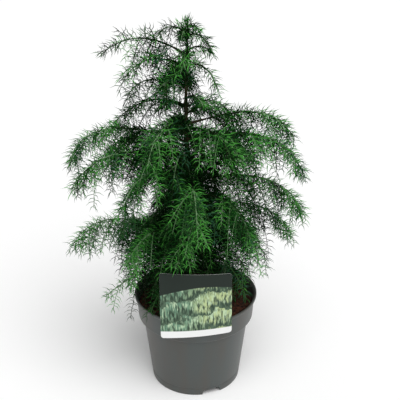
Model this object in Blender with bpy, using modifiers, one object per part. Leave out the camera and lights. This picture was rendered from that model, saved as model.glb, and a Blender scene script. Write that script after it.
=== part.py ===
"""A young weeping Japanese cedar in a round nursery pot.

Each bough rises from the trunk, arches outwards and droops at its tip. Where the
green begins, the bough ends and a mass of needles carries on from its tip. A mass
is one stem with side shoots, and every shoot is a slim three-sided core whose faces
are drawn out into needles. The origin is on the floor under the middle of the pot.
The photograph's viewer looks along +Y, so 270 degrees is the front and 0 the right.
"""

import math
import random

import bmesh
import bpy
from mathutils import Matrix, Vector
from mathutils.bvhtree import BVHTree

CM = 0.01
MM = 0.001
CLEARANCE = 0.3 * MM
NAME = "potted_weeping_japanese_cedar"
SEED = 1600

# The pot, a five-litre container with a deep collar
POT_STEPS = 32
POT_HEIGHT = 175 * MM
POT_WALL = 2.2 * MM
RIM_RADIUS = 112.5 * MM
LIP_DEPTH = 6 * MM
COLLAR_TOP_RADIUS = 108.6 * MM
COLLAR_FOOT_RADIUS = 106 * MM
COLLAR_FOOT = 132 * MM
BODY_TOP_RADIUS = 97 * MM
BODY_TOP = 127 * MM
BASE_RADIUS = 82.5 * MM
FLOOR_RISE = 7 * MM
FLOOR_THICKNESS = 2.5 * MM
PAD_RADIUS = 30 * MM
PAD_SLOPE = 4 * MM

# The drain notches in the pot's foot
NOTCH_COUNT = 3
NOTCH_AZIMUTH = 292
NOTCH_WIDTH = 40 * MM
NOTCH_TOP_WIDTH = 30 * MM
NOTCH_HEIGHT = 11 * MM
NOTCH_REACH = 20 * MM

# The soil, level round the trunk and lower at the wall
SOIL_LEVEL = 157 * MM
SOIL_EDGE_LEVEL = 153 * MM
SOIL_FLAT_RADIUS = 40 * MM

# The picture card that hooks over the front of the rim
CARD_WIDTH = 122 * MM
CARD_HEIGHT = 122 * MM
CARD_BOTTOM = 149 * MM
CARD_THICKNESS = 0.7 * MM
CARD_FRONT = 114 * MM
CARD_CENTRE_X = 4 * MM
CARD_BEND_RADIUS = 320 * MM
CARD_TWIST = 10 * MM
CARD_YAW = 4.2
CARD_ROLL = 0.7
CARD_CORNER = 5 * MM
HOOK_WIDTH = 22 * MM
HOOK_THICKNESS = 0.8 * MM
HOOK_RISE = 1.2 * MM
HOOK_INNER = 104.3 * MM
HOOK_DEPTH = 15 * MM

# The trunk: where it stands, how far its tip leans and sways, its taper and root flare
TRUNK_X = -14 * MM
TRUNK_TIP = 62.5 * CM
TRUNK_LEAN = 3 * MM
TRUNK_SWAY = 1.5 * MM
TRUNK_SWAY_TURN = 2.5 * math.pi
TRUNK_ROOT_RADIUS = 7.5 * MM
TRUNK_TIP_RADIUS = 1.7 * MM
TRUNK_TAPER = 0.8
ROOT_FLARE = 1.7
ROOT_FLARE_HEIGHT = 12 * MM
TRUNK_LEVELS = 18
LEVEL_CROWDING = 1.2

# Boughs and the twigs on them
BOUGH_ROOT_RADIUS = 2.6 * MM
BOUGH_TIP_RADIUS = 1.6 * MM
BOUGH_SHARE = 0.16
BOUGH_STEPS = 4
ARCH = 0.42
STEM_RADIUS = 1.7 * MM
STEM_TIP_RADIUS = 0.7 * MM
STEM_STEP = 21 * MM
SHOOT_RADIUS = 1.1 * MM
SHOOT_TIP_RADIUS = 0.6 * MM
SHOOT_STEP = 19 * MM
SHOOT_SPACING = 21 * MM
FIRST_SHOOT = 0.4
SHOOT_LENGTH = 66 * MM
LENGTH_RANGE = (0.85, 1.15)
SHOOT_SHARE = 0.55
SHOOT_TAPER = 0.85
SHOOT_SPREAD = 46
SPREAD_RANGE = (-8, 8)
SHOOT_ROLL = (-75, 5)
SHOOT_DROOP = 0.9
DROOP_RANGE = (0.6, 1.4)
YOUNG_LIFT = 50
YOUNG_STIFFNESS = 0.5
SHORTER = (1.0, 0.75, 0.5)
LINE_STEPS = 24
NEEDLE_LENGTH = 18 * MM
NEEDLE_ANGLE = 55
TIP_NEEDLE_ANGLE = 22
NEEDLE_TWIST = 55
GUARD = 0.6 * MM
STEM_GUARD = 0.2 * MM

# Each branch: height at the trunk, azimuth, reach, height of the tip, slope at the
# trunk and slope at the tip, in centimetres and degrees
BOUGHS = {
    "top_left": (61.2, 180, 14.0, 61.2, 35, -42),
    "wide_left": (46.5, 182, 20.0, 42.7, 22, -78),
    "drooping_left": (44.0, 203, 20.2, 40.8, 15, -60),
    "low_left": (28.5, 184, 20.6, 27.4, 30, -62),
    "skirt_left": (22.0, 191, 15.3, 17.6, 12, -40),
    "wide_right": (49.6, 8, 18.5, 46.6, 14, -60),
    "outer_right": (46.8, 345, 20.0, 42.8, 18, -70),
    "mid_right": (39.0, 353, 20.0, 34.6, 20, -65),
    "low_right": (33.0, 12, 19.3, 27.5, 20, -60),
    "skirt_right": (27.5, 347, 14.4, 26.2, 18, -60),
    "front_right_upper": (49.0, 303, 14.0, 46.4, 15, -70),
    "front_left_mid": (42.0, 235, 17.0, 39.8, 15, -65),
    "front_centre": (40.0, 277, 16.0, 37.2, 20, -70),
    "front_right_mid": (37.0, 307, 17.0, 34.6, 20, -70),
    "front_left_low": (31.0, 226, 14.4, 28.2, 18, -60),
    "back_left_mid": (43.0, 146, 18.0, 40.5, 20, -60),
    "back_mid": (46.0, 98, 16.5, 43.5, 20, -60),
    "back_right_mid": (41.0, 48, 18.0, 38.0, 20, -60),
    "back_left_low": (29.0, 155, 14.5, 25.8, 20, -65),
    "back_right_low": (26.5, 42, 17.0, 23.5, 18, -60),
}
# The short ones, whose green begins at the trunk
TWIGS = {
    "top_front": (61.0, 265, 5.5, 60.6, 35, -60),
    "upper_left": (59.2, 200, 10.4, 58.2, 35, -58),
    "high_left": (56.0, 174, 10.0, 53.8, 25, -66),
    "shoulder_left": (52.5, 168, 12.8, 48.9, 25, -45),
    "top_right": (62.0, 350, 3.8, 61.4, 45, -80),
    "high_right": (59.5, 5, 4.9, 55.4, 20, -78),
    "front_top": (58.0, 245, 8.4, 56.0, 28, -76),
    "back_top_left": (57.0, 105, 10.5, 55.0, 25, -60),
    "back_top_right": (52.5, 32, 9.0, 49.4, 22, -64),
    "front_left_upper": (50.0, 247, 14.0, 46.8, 15, -70),
    "inner_front": (45.0, 258, 9.5, 42.4, 25, -60),
    "front_low": (33.0, 265, 14.0, 29.3, 20, -65),
    "back_low": (34.0, 98, 17.0, 31.0, 20, -60),
    "front_right_low": (26.0, 324, 12.6, 20.4, 20, -75),
    "front_sprig": (21.0, 238, 11.5, 18.6, 20, -60),
}
LEADER_TIP = 67.0 * CM


def plain_material(name, colour, roughness, metallic=0.0):
    """A material of one colour for one kind of piece."""
    material = bpy.data.materials.new(name)
    material.use_nodes = True
    shader = material.node_tree.nodes["Principled BSDF"]
    shader.inputs["Base Color"].default_value = (*colour, 1.0)
    shader.inputs["Roughness"].default_value = roughness
    shader.inputs["Metallic"].default_value = metallic
    return material


def add_object(name, mesh, collection, material=None):
    """Put a mesh in the scene under a name, with its material."""
    piece = bpy.data.objects.new(name, mesh)
    collection.objects.link(piece)
    if material:
        mesh.materials.clear()
        mesh.materials.append(material)
    return piece


def mesh_from(bm, name):
    """Turn a bmesh into a mesh of its own and free it."""
    mesh = bpy.data.meshes.new(name)
    bm.to_mesh(mesh)
    bm.free()
    return mesh


def evaluated_mesh(piece):
    """The mesh that a piece shows with its modifiers worked out."""
    depsgraph = bpy.context.evaluated_depsgraph_get()
    return bpy.data.meshes.new_from_object(piece.evaluated_get(depsgraph), depsgraph=depsgraph)


def apply_modifiers(piece):
    """Keep the evaluated mesh and drop the modifiers that made it."""
    mesh = evaluated_mesh(piece)
    piece.modifiers.clear()
    piece.data = mesh


def turned(name, profile, collection, material):
    """Turn a profile of (radius, height) pairs about the upright axis."""
    bm = bmesh.new()
    verts = [bm.verts.new((radius, 0, height)) for radius, height in profile]
    for first, second in zip(verts, verts[1:]):
        bm.edges.new((first, second))
    piece = add_object(name, mesh_from(bm, name), collection, material)
    screw = piece.modifiers.new("turned", "SCREW")
    screw.axis = "Z"
    screw.steps = POT_STEPS
    screw.render_steps = POT_STEPS
    screw.use_merge_vertices = True
    screw.merge_threshold = 0.00001
    screw.use_smooth_shade = True
    return piece


def inner_radius(height):
    """Radius of the pot's inner wall at a height."""
    if height > COLLAR_FOOT:
        share = (height - COLLAR_FOOT) / (POT_HEIGHT - COLLAR_FOOT)
        return COLLAR_FOOT_RADIUS + share * (COLLAR_TOP_RADIUS - COLLAR_FOOT_RADIUS) - POT_WALL
    share = height / BODY_TOP
    return BASE_RADIUS + share * (BODY_TOP_RADIUS - BASE_RADIUS) - POT_WALL


def make_pot(collection, cutters, material):
    """The pot: a thin turned shell on a foot ring, with drain notches cut in its foot."""
    floor_top = FLOOR_RISE + FLOOR_THICKNESS
    profile = [
        (0, FLOOR_THICKNESS),
        (PAD_RADIUS, FLOOR_THICKNESS),
        (PAD_RADIUS + PAD_SLOPE, floor_top),
        (inner_radius(floor_top), floor_top),
        (inner_radius(BODY_TOP), BODY_TOP),
        (COLLAR_FOOT_RADIUS - POT_WALL, COLLAR_FOOT),
        (COLLAR_TOP_RADIUS - POT_WALL, POT_HEIGHT - LIP_DEPTH),
        (RIM_RADIUS - 1.6 * POT_WALL, POT_HEIGHT - 0.3 * LIP_DEPTH),
        (RIM_RADIUS - POT_WALL, POT_HEIGHT),
        (RIM_RADIUS - 0.3 * POT_WALL, POT_HEIGHT),
        (RIM_RADIUS, POT_HEIGHT - 0.15 * LIP_DEPTH),
        (RIM_RADIUS, POT_HEIGHT - 0.75 * LIP_DEPTH),
        (COLLAR_TOP_RADIUS, POT_HEIGHT - 1.2 * LIP_DEPTH),
        (COLLAR_FOOT_RADIUS, COLLAR_FOOT),
        (COLLAR_FOOT_RADIUS - POT_WALL, COLLAR_FOOT - POT_WALL),
        (BODY_TOP_RADIUS, BODY_TOP - POT_WALL),
        (BASE_RADIUS, 0),
        (BASE_RADIUS - 1.4 * POT_WALL, 0),
        (BASE_RADIUS - 1.4 * POT_WALL, FLOOR_RISE),
        (PAD_RADIUS + PAD_SLOPE, FLOOR_RISE),
        (PAD_RADIUS, 0),
        (0, 0),
    ]
    pot = turned("pot", profile, collection, material)
    for index in range(NOTCH_COUNT):
        bm = bmesh.new()
        bmesh.ops.create_cone(
            bm, cap_ends=True, segments=4, radius1=NOTCH_WIDTH / math.sqrt(2),
            radius2=NOTCH_TOP_WIDTH / math.sqrt(2), depth=2 * NOTCH_HEIGHT,
            matrix=Matrix.Rotation(math.radians(45), 4, "Z"),
        )
        bmesh.ops.scale(bm, vec=(NOTCH_REACH / NOTCH_WIDTH, 1, 1), verts=bm.verts)
        cutter = add_object(f"notch_cutter_{index}", mesh_from(bm, "notch"), cutters)
        turn = math.radians(NOTCH_AZIMUTH + 360 * index / NOTCH_COUNT)
        cutter.rotation_euler = (0, 0, turn)
        cutter.location = (BASE_RADIUS * math.cos(turn), BASE_RADIUS * math.sin(turn), 0)
        cutter.hide_render = True
        cutter.display_type = "WIRE"
        cut = pot.modifiers.new("drain notch", "BOOLEAN")
        cut.operation = "DIFFERENCE"
        cut.object = cutter
    return pot


def make_soil(collection, material):
    """The root ball and its peat: one solid that fills the pot inside a thin gap."""
    floor_top = FLOOR_RISE + FLOOR_THICKNESS + CLEARANCE
    gap = 2 * CLEARANCE
    profile = [
        (0, floor_top),
        (inner_radius(floor_top) - gap, floor_top),
        (inner_radius(BODY_TOP) - gap, BODY_TOP),
        (COLLAR_FOOT_RADIUS - POT_WALL - gap, COLLAR_FOOT + gap),
        (inner_radius(SOIL_EDGE_LEVEL) - 2 * gap, SOIL_EDGE_LEVEL),
        (SOIL_FLAT_RADIUS, SOIL_LEVEL),
        (0, SOIL_LEVEL),
    ]
    return turned("soil", profile[::-1], collection, material)


def card_point(across, up):
    """A point of the bent and slightly twisted card, from its place on the flat sheet."""
    back = across * across / (2 * CARD_BEND_RADIUS) + across * math.sin(math.radians(CARD_YAW))
    twist = CARD_TWIST * (across / CARD_WIDTH) * (2 * up / CARD_HEIGHT - 1)
    roll = math.radians(CARD_ROLL)
    x = across * math.cos(roll) - up * math.sin(roll)
    z = across * math.sin(roll) + up * math.cos(roll)
    return Vector((CARD_CENTRE_X + x, -CARD_FRONT + back - twist, CARD_BOTTOM + z))


def make_card(collection, material):
    """The card, with the tongue on its back that hangs it over the rim."""
    bm = bmesh.new()
    bmesh.ops.create_grid(bm, x_segments=8, y_segments=2, size=0.5)
    corners = [vert for vert in bm.verts if len(vert.link_edges) == 2]
    bmesh.ops.scale(bm, vec=(CARD_WIDTH, CARD_HEIGHT, 1), verts=bm.verts)
    bmesh.ops.bevel(bm, geom=corners, offset=CARD_CORNER, segments=2, affect="VERTICES")
    for vert in bm.verts:
        vert.co = card_point(vert.co.x, vert.co.y + CARD_HEIGHT / 2)
    card = add_object("picture_card", mesh_from(bm, "picture_card"), collection, material)
    sheet = card.modifiers.new("sheet", "SOLIDIFY")
    sheet.thickness = CARD_THICKNESS
    sheet.offset = 0

    over_rim = POT_HEIGHT + HOOK_RISE
    route = [
        (-CARD_FRONT, over_rim),
        (-HOOK_INNER - 2 * HOOK_THICKNESS, over_rim),
        (-HOOK_INNER, over_rim - 2 * HOOK_THICKNESS),
        (-HOOK_INNER, over_rim - HOOK_DEPTH),
    ]
    bm = bmesh.new()
    left = [bm.verts.new((-HOOK_WIDTH / 2, y, z)) for y, z in route]
    for first, second in zip(left, left[1:]):
        bm.edges.new((first, second))
    strip = bmesh.ops.extrude_edge_only(bm, edges=bm.edges[:])
    moved = [item for item in strip["geom"] if isinstance(item, bmesh.types.BMVert)]
    bmesh.ops.translate(bm, vec=(HOOK_WIDTH, 0, 0), verts=moved)
    hook = add_object("hook", mesh_from(bm, "hook"), collection)
    thick = hook.modifiers.new("strip", "SOLIDIFY")
    thick.thickness = HOOK_THICKNESS
    thick.offset = 0
    join = card.modifiers.new("hook", "BOOLEAN")
    join.operation = "UNION"
    join.object = hook
    apply_modifiers(card)
    bpy.data.objects.remove(hook)
    return card


def trunk_point(height):
    """Middle of the trunk at a height: its foot is upright, and it leans and sways above."""
    share = (height - SOIL_LEVEL) / (TRUNK_TIP - SOIL_LEVEL)
    sway = TRUNK_SWAY * math.sin(TRUNK_SWAY_TURN * share ** 2)
    return Vector((TRUNK_X + sway, TRUNK_LEAN * share ** 2, height))


def trunk_radius(height):
    """Radius of the trunk at a height, with the flare of its roots."""
    share = (height - SOIL_LEVEL) / (TRUNK_TIP - SOIL_LEVEL)
    taper = TRUNK_ROOT_RADIUS + (TRUNK_TIP_RADIUS - TRUNK_ROOT_RADIUS) * share ** TRUNK_TAPER
    flare = 1 + (ROOT_FLARE - 1) * math.exp(-(height - SOIL_LEVEL) / ROOT_FLARE_HEIGHT)
    return taper * flare


def limb(name, points, radii, sides, collection, material):
    """A tapering limb: a bevelled curve with caps, made into a welded mesh."""
    curve = bpy.data.curves.new(name, "CURVE")
    curve.dimensions = "3D"
    curve.bevel_depth = 1.0
    curve.bevel_resolution = sides // 2 - 2
    curve.use_fill_caps = True
    spline = curve.splines.new("POLY")
    spline.points.add(len(points) - 1)
    for place, point, radius in zip(spline.points, points, radii):
        place.co = (*point, 1.0)
        place.radius = radius
    guide = bpy.data.objects.new(name, curve)
    collection.objects.link(guide)
    mesh = evaluated_mesh(guide)
    bpy.data.objects.remove(guide)
    bm = bmesh.new()
    bm.from_mesh(mesh)
    bmesh.ops.remove_doubles(bm, verts=bm.verts, dist=0.00001)
    bmesh.ops.recalc_face_normals(bm, faces=bm.faces)
    piece = add_object(name, mesh_from(bm, name), collection, material)
    piece.data.shade_smooth()
    piece.data.set_sharp_from_angle(angle=math.radians(50))
    return piece


def make_trunk(collection, material):
    """The trunk, from its flat cut at the soil to the tip where the leader takes over."""
    foot = SOIL_LEVEL + CLEARANCE
    heights = []
    for level in range(TRUNK_LEVELS + 1):
        share = (level / TRUNK_LEVELS) ** LEVEL_CROWDING
        heights.append(foot + (TRUNK_TIP - foot) * share)
    points = [trunk_point(height) for height in heights]
    radii = [trunk_radius(height) for height in heights]
    return limb("trunk", points, radii, 8, collection, material)


def branch_curve(sizes, root_radius):
    """Points along a branch: it leaves the trunk at one slope and ends at another."""
    height, azimuth, reach, tip, rise, fall = sizes
    foot = trunk_point(height * CM)
    turn = math.radians(azimuth)
    outward = Vector((math.cos(turn), math.sin(turn), 0))
    up = Vector((0, 0, 1))
    start_way = outward * math.cos(math.radians(rise)) + up * math.sin(math.radians(rise))
    end_way = outward * math.cos(math.radians(fall)) + up * math.sin(math.radians(fall))
    radius = trunk_radius(height * CM)
    lift = root_radius * math.sin(math.radians(rise))
    start = foot + outward * (radius + lift + CLEARANCE)
    end = foot + outward * (reach * CM)
    end.z = tip * CM
    pull = ARCH * (end - start).length
    first = start + start_way * pull
    second = end - end_way * pull
    points = []
    for step in range(LINE_STEPS + 1):
        t = step / LINE_STEPS
        a = start.lerp(first, t)
        b = first.lerp(second, t)
        c = second.lerp(end, t)
        points.append(a.lerp(b, t).lerp(b.lerp(c, t), t))
    return points


def along(points, distance):
    """The point and heading at a distance along a line of points."""
    for first, second in zip(points, points[1:]):
        step = (second - first).length
        if distance <= step:
            return first.lerp(second, distance / step), (second - first).normalized()
        distance -= step
    return points[-1].copy(), (points[-1] - points[-2]).normalized()


def line_length(points):
    """Length of a line of points."""
    return sum((second - first).length for first, second in zip(points, points[1:]))


def stretch(points, start, end, steps):
    """Evenly spaced points between two distances along a line."""
    return [along(points, start + (end - start) * step / steps)[0] for step in range(steps + 1)]


def side_shoots(number, stem):
    """The seeded rule that says where side shoots leave a stem, and how they droop."""
    rng = random.Random(SEED + number)
    length = line_length(stem)
    count = max(3, round(length / SHOOT_SPACING))
    longest = min(SHOOT_LENGTH, SHOOT_SHARE * length)
    shoots = []
    for index in range(count):
        share = (index + FIRST_SHOOT) / count
        foot, heading = along(stem, share * length)
        side = heading.cross(Vector((0, 0, 1)))
        side = side.normalized() if side.length > 0.1 else Vector((1, 0, 0))
        over = side.cross(heading)
        hand = 1 if index % 2 else -1
        youth = ((foot.z - SOIL_LEVEL) / (TRUNK_TIP - SOIL_LEVEL)) ** 2
        roll = math.radians(rng.uniform(*SHOOT_ROLL) + YOUNG_LIFT * youth)
        spread = math.radians(SHOOT_SPREAD + rng.uniform(*SPREAD_RANGE))
        across = side * hand * math.cos(roll) + over * math.sin(roll)
        way = heading * math.cos(spread) + across * math.sin(spread)
        size = longest * (1 - SHOOT_TAPER * share) * rng.uniform(*LENGTH_RANGE)
        droop = SHOOT_DROOP * (1 - YOUNG_STIFFNESS * youth) * rng.uniform(*DROOP_RANGE)
        shoots.append((foot, way, size, droop))
    return shoots


def shoot_line(foot, way, size, droop):
    """Points along a shoot that bends down under its own weight."""
    steps = max(2, round(size / SHOOT_STEP))
    points = []
    for step in range(steps + 1):
        t = step / steps
        points.append(foot + way * (size * t) + Vector((0, 0, -size * droop * t * t)))
    return points


def ring_frames(points, thick, thin):
    """A frame for the ring at each point, each turned on a little from the last."""
    headings = [(second - first).normalized() for first, second in zip(points, points[1:])]
    headings.append(headings[-1])
    aim = headings[0].to_track_quat("Z", "Y")
    frames = []
    for index, (point, heading) in enumerate(zip(points, headings)):
        aim = headings[max(index - 1, 0)].rotation_difference(heading) @ aim
        spin = Matrix.Rotation(math.radians(NEEDLE_TWIST * index), 4, "Z")
        size = Matrix.Scale(thick + (thin - thick) * index / (len(points) - 1), 4)
        frames.append(Matrix.Translation(point) @ aim.to_matrix().to_4x4() @ spin @ size)
    return frames


def move_ring(bm, ring, old, new):
    """Move the corners of a twig's end face from one frame to another."""
    bmesh.ops.transform(bm, matrix=new @ old.inverted(), verts=ring.verts[:])


def needled_twig(points, thick, thin, needle, bare_root=True):
    """A three-sided twig along points, its side faces drawn out into needles."""
    frames = ring_frames(points, thick, thin)
    bm = bmesh.new()
    bmesh.ops.create_cone(bm, cap_ends=True, segments=3, radius1=1, radius2=1, depth=1)
    caps = [face for face in bm.faces if len(face.verts) == 3]
    root, end = sorted(caps, key=lambda cap: cap.calc_center_median().z)
    move_ring(bm, root, Matrix.Translation((0, 0, -0.5)), frames[0])
    move_ring(bm, end, Matrix.Translation((0, 0, 0.5)), frames[1])
    for last, frame in zip(frames[1:], frames[2:]):
        end = bmesh.ops.extrude_discrete_faces(bm, faces=[end])["faces"][0]
        move_ring(bm, end, last, frame)
    bmesh.ops.recalc_face_normals(bm, faces=bm.faces)
    sides = {face for face in bm.faces if len(face.verts) == 4}
    if bare_root:
        sides -= {face for edge in root.edges for face in edge.link_faces}
    tips = bmesh.ops.poke(bm, faces=list(sides))["verts"]
    middles = [(first + second) / 2 for first, second in zip(points, points[1:])]
    for tip in tips:
        nearest = min(range(len(middles)), key=lambda index: (middles[index] - tip.co).length)
        heading = (points[nearest + 1] - points[nearest]).normalized()
        outward = tip.co - middles[nearest]
        outward = (outward - heading * outward.dot(heading)).normalized()
        is_last = nearest == len(middles) - 1
        angle = math.radians(TIP_NEEDLE_ANGLE if is_last else NEEDLE_ANGLE)
        tip.co += (outward * math.sin(angle) + heading * math.cos(angle)) * needle
    bmesh.ops.triangulate(bm, faces=bm.faces)
    return bm


def guard_tree(points, thick, thin, guard, bare_root=True):
    """The search tree of a slightly fatter copy of a twig."""
    bm = needled_twig(points, thick + guard, thin + guard, NEEDLE_LENGTH + 2 * guard, bare_root)
    tree = BVHTree.FromBMesh(bm)
    bm.free()
    return tree


def tree_of(piece):
    """The search tree of a piece's evaluated mesh."""
    bm = bmesh.new()
    bm.from_mesh(evaluated_mesh(piece))
    tree = BVHTree.FromBMesh(bm)
    bm.free()
    return tree


def is_clear(name, tree, placed):
    """Whether a twig's guard misses everything placed so far outside its own mass."""
    return not any(owner != name and tree.overlap(other) for owner, other in placed)


def outer_shell(bm):
    """The corners of a mesh's largest shell: the rest are sealed hollows and scraps."""
    left = set(bm.verts)
    shells = []
    while left:
        shell = {left.pop()}
        front = list(shell)
        while front:
            near = {edge.other_vert(vert) for vert in front for edge in vert.link_edges}
            front = list(near - shell)
            shell.update(front)
        left -= shell
        shells.append(shell)
    return max(shells, key=len)


def clean_shell(mesh):
    """Keep a fused mesh's outer shell, and say whether it is one closed solid."""
    bm = bmesh.new()
    bm.from_mesh(mesh)
    bmesh.ops.triangulate(bm, faces=bm.faces)
    outer = outer_shell(bm)
    bmesh.ops.delete(bm, geom=[vert for vert in bm.verts if vert not in outer], context="VERTS")
    closed = all(item.is_manifold for item in bm.edges[:] + bm.verts[:])
    bm.to_mesh(mesh)
    bm.free()
    return closed


def fuse(stem, twigs):
    """Join a collection's twigs to their stem with one Boolean union, then remove them."""
    join = stem.modifiers.new("twigs", "BOOLEAN")
    join.operation = "UNION"
    join.operand_type = "COLLECTION"
    join.collection = twigs
    closed = False
    while not closed:
        for solver in ("EXACT", "MANIFOLD"):
            join.solver = solver
            mesh = evaluated_mesh(stem)
            closed = clean_shell(mesh)
            if closed:
                break
        else:
            print(f"{stem.name}: one shoot fewer")
            bpy.data.objects.remove(twigs.objects[-1])
    stem.modifiers.clear()
    stem.data = mesh
    for twig in list(twigs.objects):
        bpy.data.objects.remove(twig)


def make_stem(name, line, placed, collection, material):
    """The stem of a mass, needled along its length, from its limb's tip to its own."""
    steps = max(3, round(line_length(line) / STEM_STEP))
    points = stretch(line, 0, line_length(line), steps)
    guard = guard_tree(points, STEM_RADIUS, STEM_TIP_RADIUS, STEM_GUARD, bare_root=False)
    if not is_clear(name, guard, placed):
        raise ValueError(f"{name}: its stem runs into another solid")
    bm = needled_twig(points, STEM_RADIUS, STEM_TIP_RADIUS, NEEDLE_LENGTH, bare_root=False)
    stem = add_object(name, mesh_from(bm, name), collection, material)
    placed.append((name, tree_of(stem)))
    return stem


def grow_shoots(stem, number, line, placed):
    """Grow a mass's side shoots where there is room, and fuse them to its stem."""
    twigs = bpy.data.collections.new(f"{stem.name} twigs")
    bpy.context.scene.collection.children.link(twigs)
    for foot, way, size, droop in side_shoots(number, line):
        for share in SHORTER:
            points = shoot_line(foot, way, size * share, droop)
            guard = guard_tree(points, SHOOT_RADIUS, SHOOT_TIP_RADIUS, GUARD)
            if is_clear(stem.name, guard, placed):
                bm = needled_twig(points, SHOOT_RADIUS, SHOOT_TIP_RADIUS, NEEDLE_LENGTH)
                twig = add_object("twig", mesh_from(bm, "twig"), twigs)
                placed.append((stem.name, tree_of(twig)))
                break
    fuse(stem, twigs)
    bpy.data.collections.remove(twigs)


def make_bough(name, line, placed, collection, material):
    """The bare inner stretch of a branch, from the trunk to where its green begins."""
    points = stretch(line, 0, BOUGH_SHARE * line_length(line), BOUGH_STEPS)
    radii = []
    for step in range(BOUGH_STEPS + 1):
        share = step / BOUGH_STEPS
        radii.append(BOUGH_ROOT_RADIUS + (BOUGH_TIP_RADIUS - BOUGH_ROOT_RADIUS) * share)
    bough = limb(name, points, radii, 6, collection, material)
    placed.append((name, tree_of(bough)))


def make_plant(collection, placed, bark, green):
    """The trunk, the boughs that leave it and the masses of needles they carry."""
    trunk = make_trunk(collection, bark)
    placed.append((trunk.name, tree_of(trunk)))
    lines = {}
    for name, sizes in BOUGHS.items():
        line = branch_curve(sizes, BOUGH_ROOT_RADIUS)
        make_bough(f"bough_{name}", line, placed, collection, bark)
        length = line_length(line)
        lines[name] = stretch(line, BOUGH_SHARE * length + CLEARANCE, length, LINE_STEPS)
    for name, sizes in TWIGS.items():
        lines[name] = branch_curve(sizes, STEM_RADIUS)
    top = trunk_point(TRUNK_TIP)
    lines["leader"] = [top + Vector((0, 0, CLEARANCE)), Vector((top.x, top.y, LEADER_TIP))]
    stems = []
    for name, line in lines.items():
        stems.append(make_stem(f"needles_{name}", line, placed, collection, green))
    for number, (stem, line) in enumerate(zip(stems, lines.values())):
        grow_shoots(stem, number, line, placed)


def main():
    """Clear the scene and build the potted plant."""
    for old in list(bpy.data.objects):
        bpy.data.objects.remove(old)
    parts = bpy.data.collections.new(NAME)
    cutters = bpy.data.collections.new("cutters")
    bpy.context.scene.collection.children.link(parts)
    bpy.context.scene.collection.children.link(cutters)
    grey = plain_material("grey plastic", (0.13, 0.135, 0.13), 0.5)
    peat = plain_material("peat", (0.05, 0.022, 0.014), 0.95)
    print_face = plain_material("printed card", (0.09, 0.15, 0.09), 0.35)
    bark = plain_material("bark", (0.11, 0.07, 0.045), 0.85)
    green = plain_material("needles", (0.03, 0.15, 0.035), 0.55)
    placed = []
    for piece in (make_pot(parts, cutters, grey), make_soil(parts, peat), make_card(parts, print_face)):
        placed.append((piece.name, tree_of(piece)))
    make_plant(parts, placed, bark, green)


main()
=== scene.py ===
# %% [markdown]
# # A weeping Japanese cedar in its nursery pot
#
# A young cedar with soft, spreading needles stands in a grey plastic pot of peat, with a
# picture card hooked over the rim. The construction model already holds the real sizes, the
# trunk, the boughs and a plain mass for each branch. This lesson gives every piece its looks:
# a moulded pot, crumbly peat, a printed card, fibrous bark, and tens of thousands of needles
# that grow from the same rule as the plain masses.

# %% Load the construction model
import math
import random
from collections import namedtuple

import bmesh
import bpy
import numpy as np
from mathutils import Matrix, Vector, noise


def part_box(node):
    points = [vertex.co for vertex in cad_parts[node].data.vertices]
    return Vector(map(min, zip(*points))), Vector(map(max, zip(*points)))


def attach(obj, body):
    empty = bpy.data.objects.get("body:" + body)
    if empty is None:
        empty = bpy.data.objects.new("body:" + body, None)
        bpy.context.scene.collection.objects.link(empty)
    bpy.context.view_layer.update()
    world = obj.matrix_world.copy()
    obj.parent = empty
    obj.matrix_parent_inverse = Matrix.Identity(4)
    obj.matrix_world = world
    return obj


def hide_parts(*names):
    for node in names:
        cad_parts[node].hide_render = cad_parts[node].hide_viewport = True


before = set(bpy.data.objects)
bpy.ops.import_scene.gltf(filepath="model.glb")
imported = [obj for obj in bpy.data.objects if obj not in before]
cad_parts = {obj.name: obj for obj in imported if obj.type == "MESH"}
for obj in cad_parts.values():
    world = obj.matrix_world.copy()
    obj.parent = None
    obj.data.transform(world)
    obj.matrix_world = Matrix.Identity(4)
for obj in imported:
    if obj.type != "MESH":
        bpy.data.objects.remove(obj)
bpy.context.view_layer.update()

# %% [markdown]
# ## Camera
#
# The photograph was taken from about a metre and a quarter away and from above the crown, so
# the rim of the pot shows as an ellipse. A camera can be aimed with a constraint, but here its
# pitch and yaw are known, so the three directions of its own frame are worked out and written
# into its matrix.

# %% Place the camera
PHOTO_SIDE = 400
FOCAL_PIXELS = 748.0
SENSOR_WIDTH = 36.0
CAMERA_PLACE = Vector((0.030, -1.2014, 0.8838))
CAMERA_YAW = -0.0182
CAMERA_PITCH = 0.4133


def aim(place, yaw, pitch):
    """The matrix of a camera that looks along +Y, turned by a yaw and tipped down by a pitch."""
    forward = Vector((math.sin(yaw) * math.cos(pitch), math.cos(yaw) * math.cos(pitch), -math.sin(pitch)))
    right = Vector((math.cos(yaw), -math.sin(yaw), 0))
    matrix = Matrix((right, right.cross(forward), -forward)).transposed().to_4x4()
    matrix.translation = place
    return matrix


lens = bpy.data.cameras.new("camera")
lens.sensor_width = SENSOR_WIDTH
lens.lens = FOCAL_PIXELS / PHOTO_SIDE * SENSOR_WIDTH
camera = bpy.data.objects.new("camera", lens)
bpy.context.scene.collection.objects.link(camera)
camera.matrix_world = aim(CAMERA_PLACE, CAMERA_YAW, CAMERA_PITCH)
bpy.context.scene.camera = camera
print("focal length:", round(lens.lens, 1), "mm")
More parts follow.
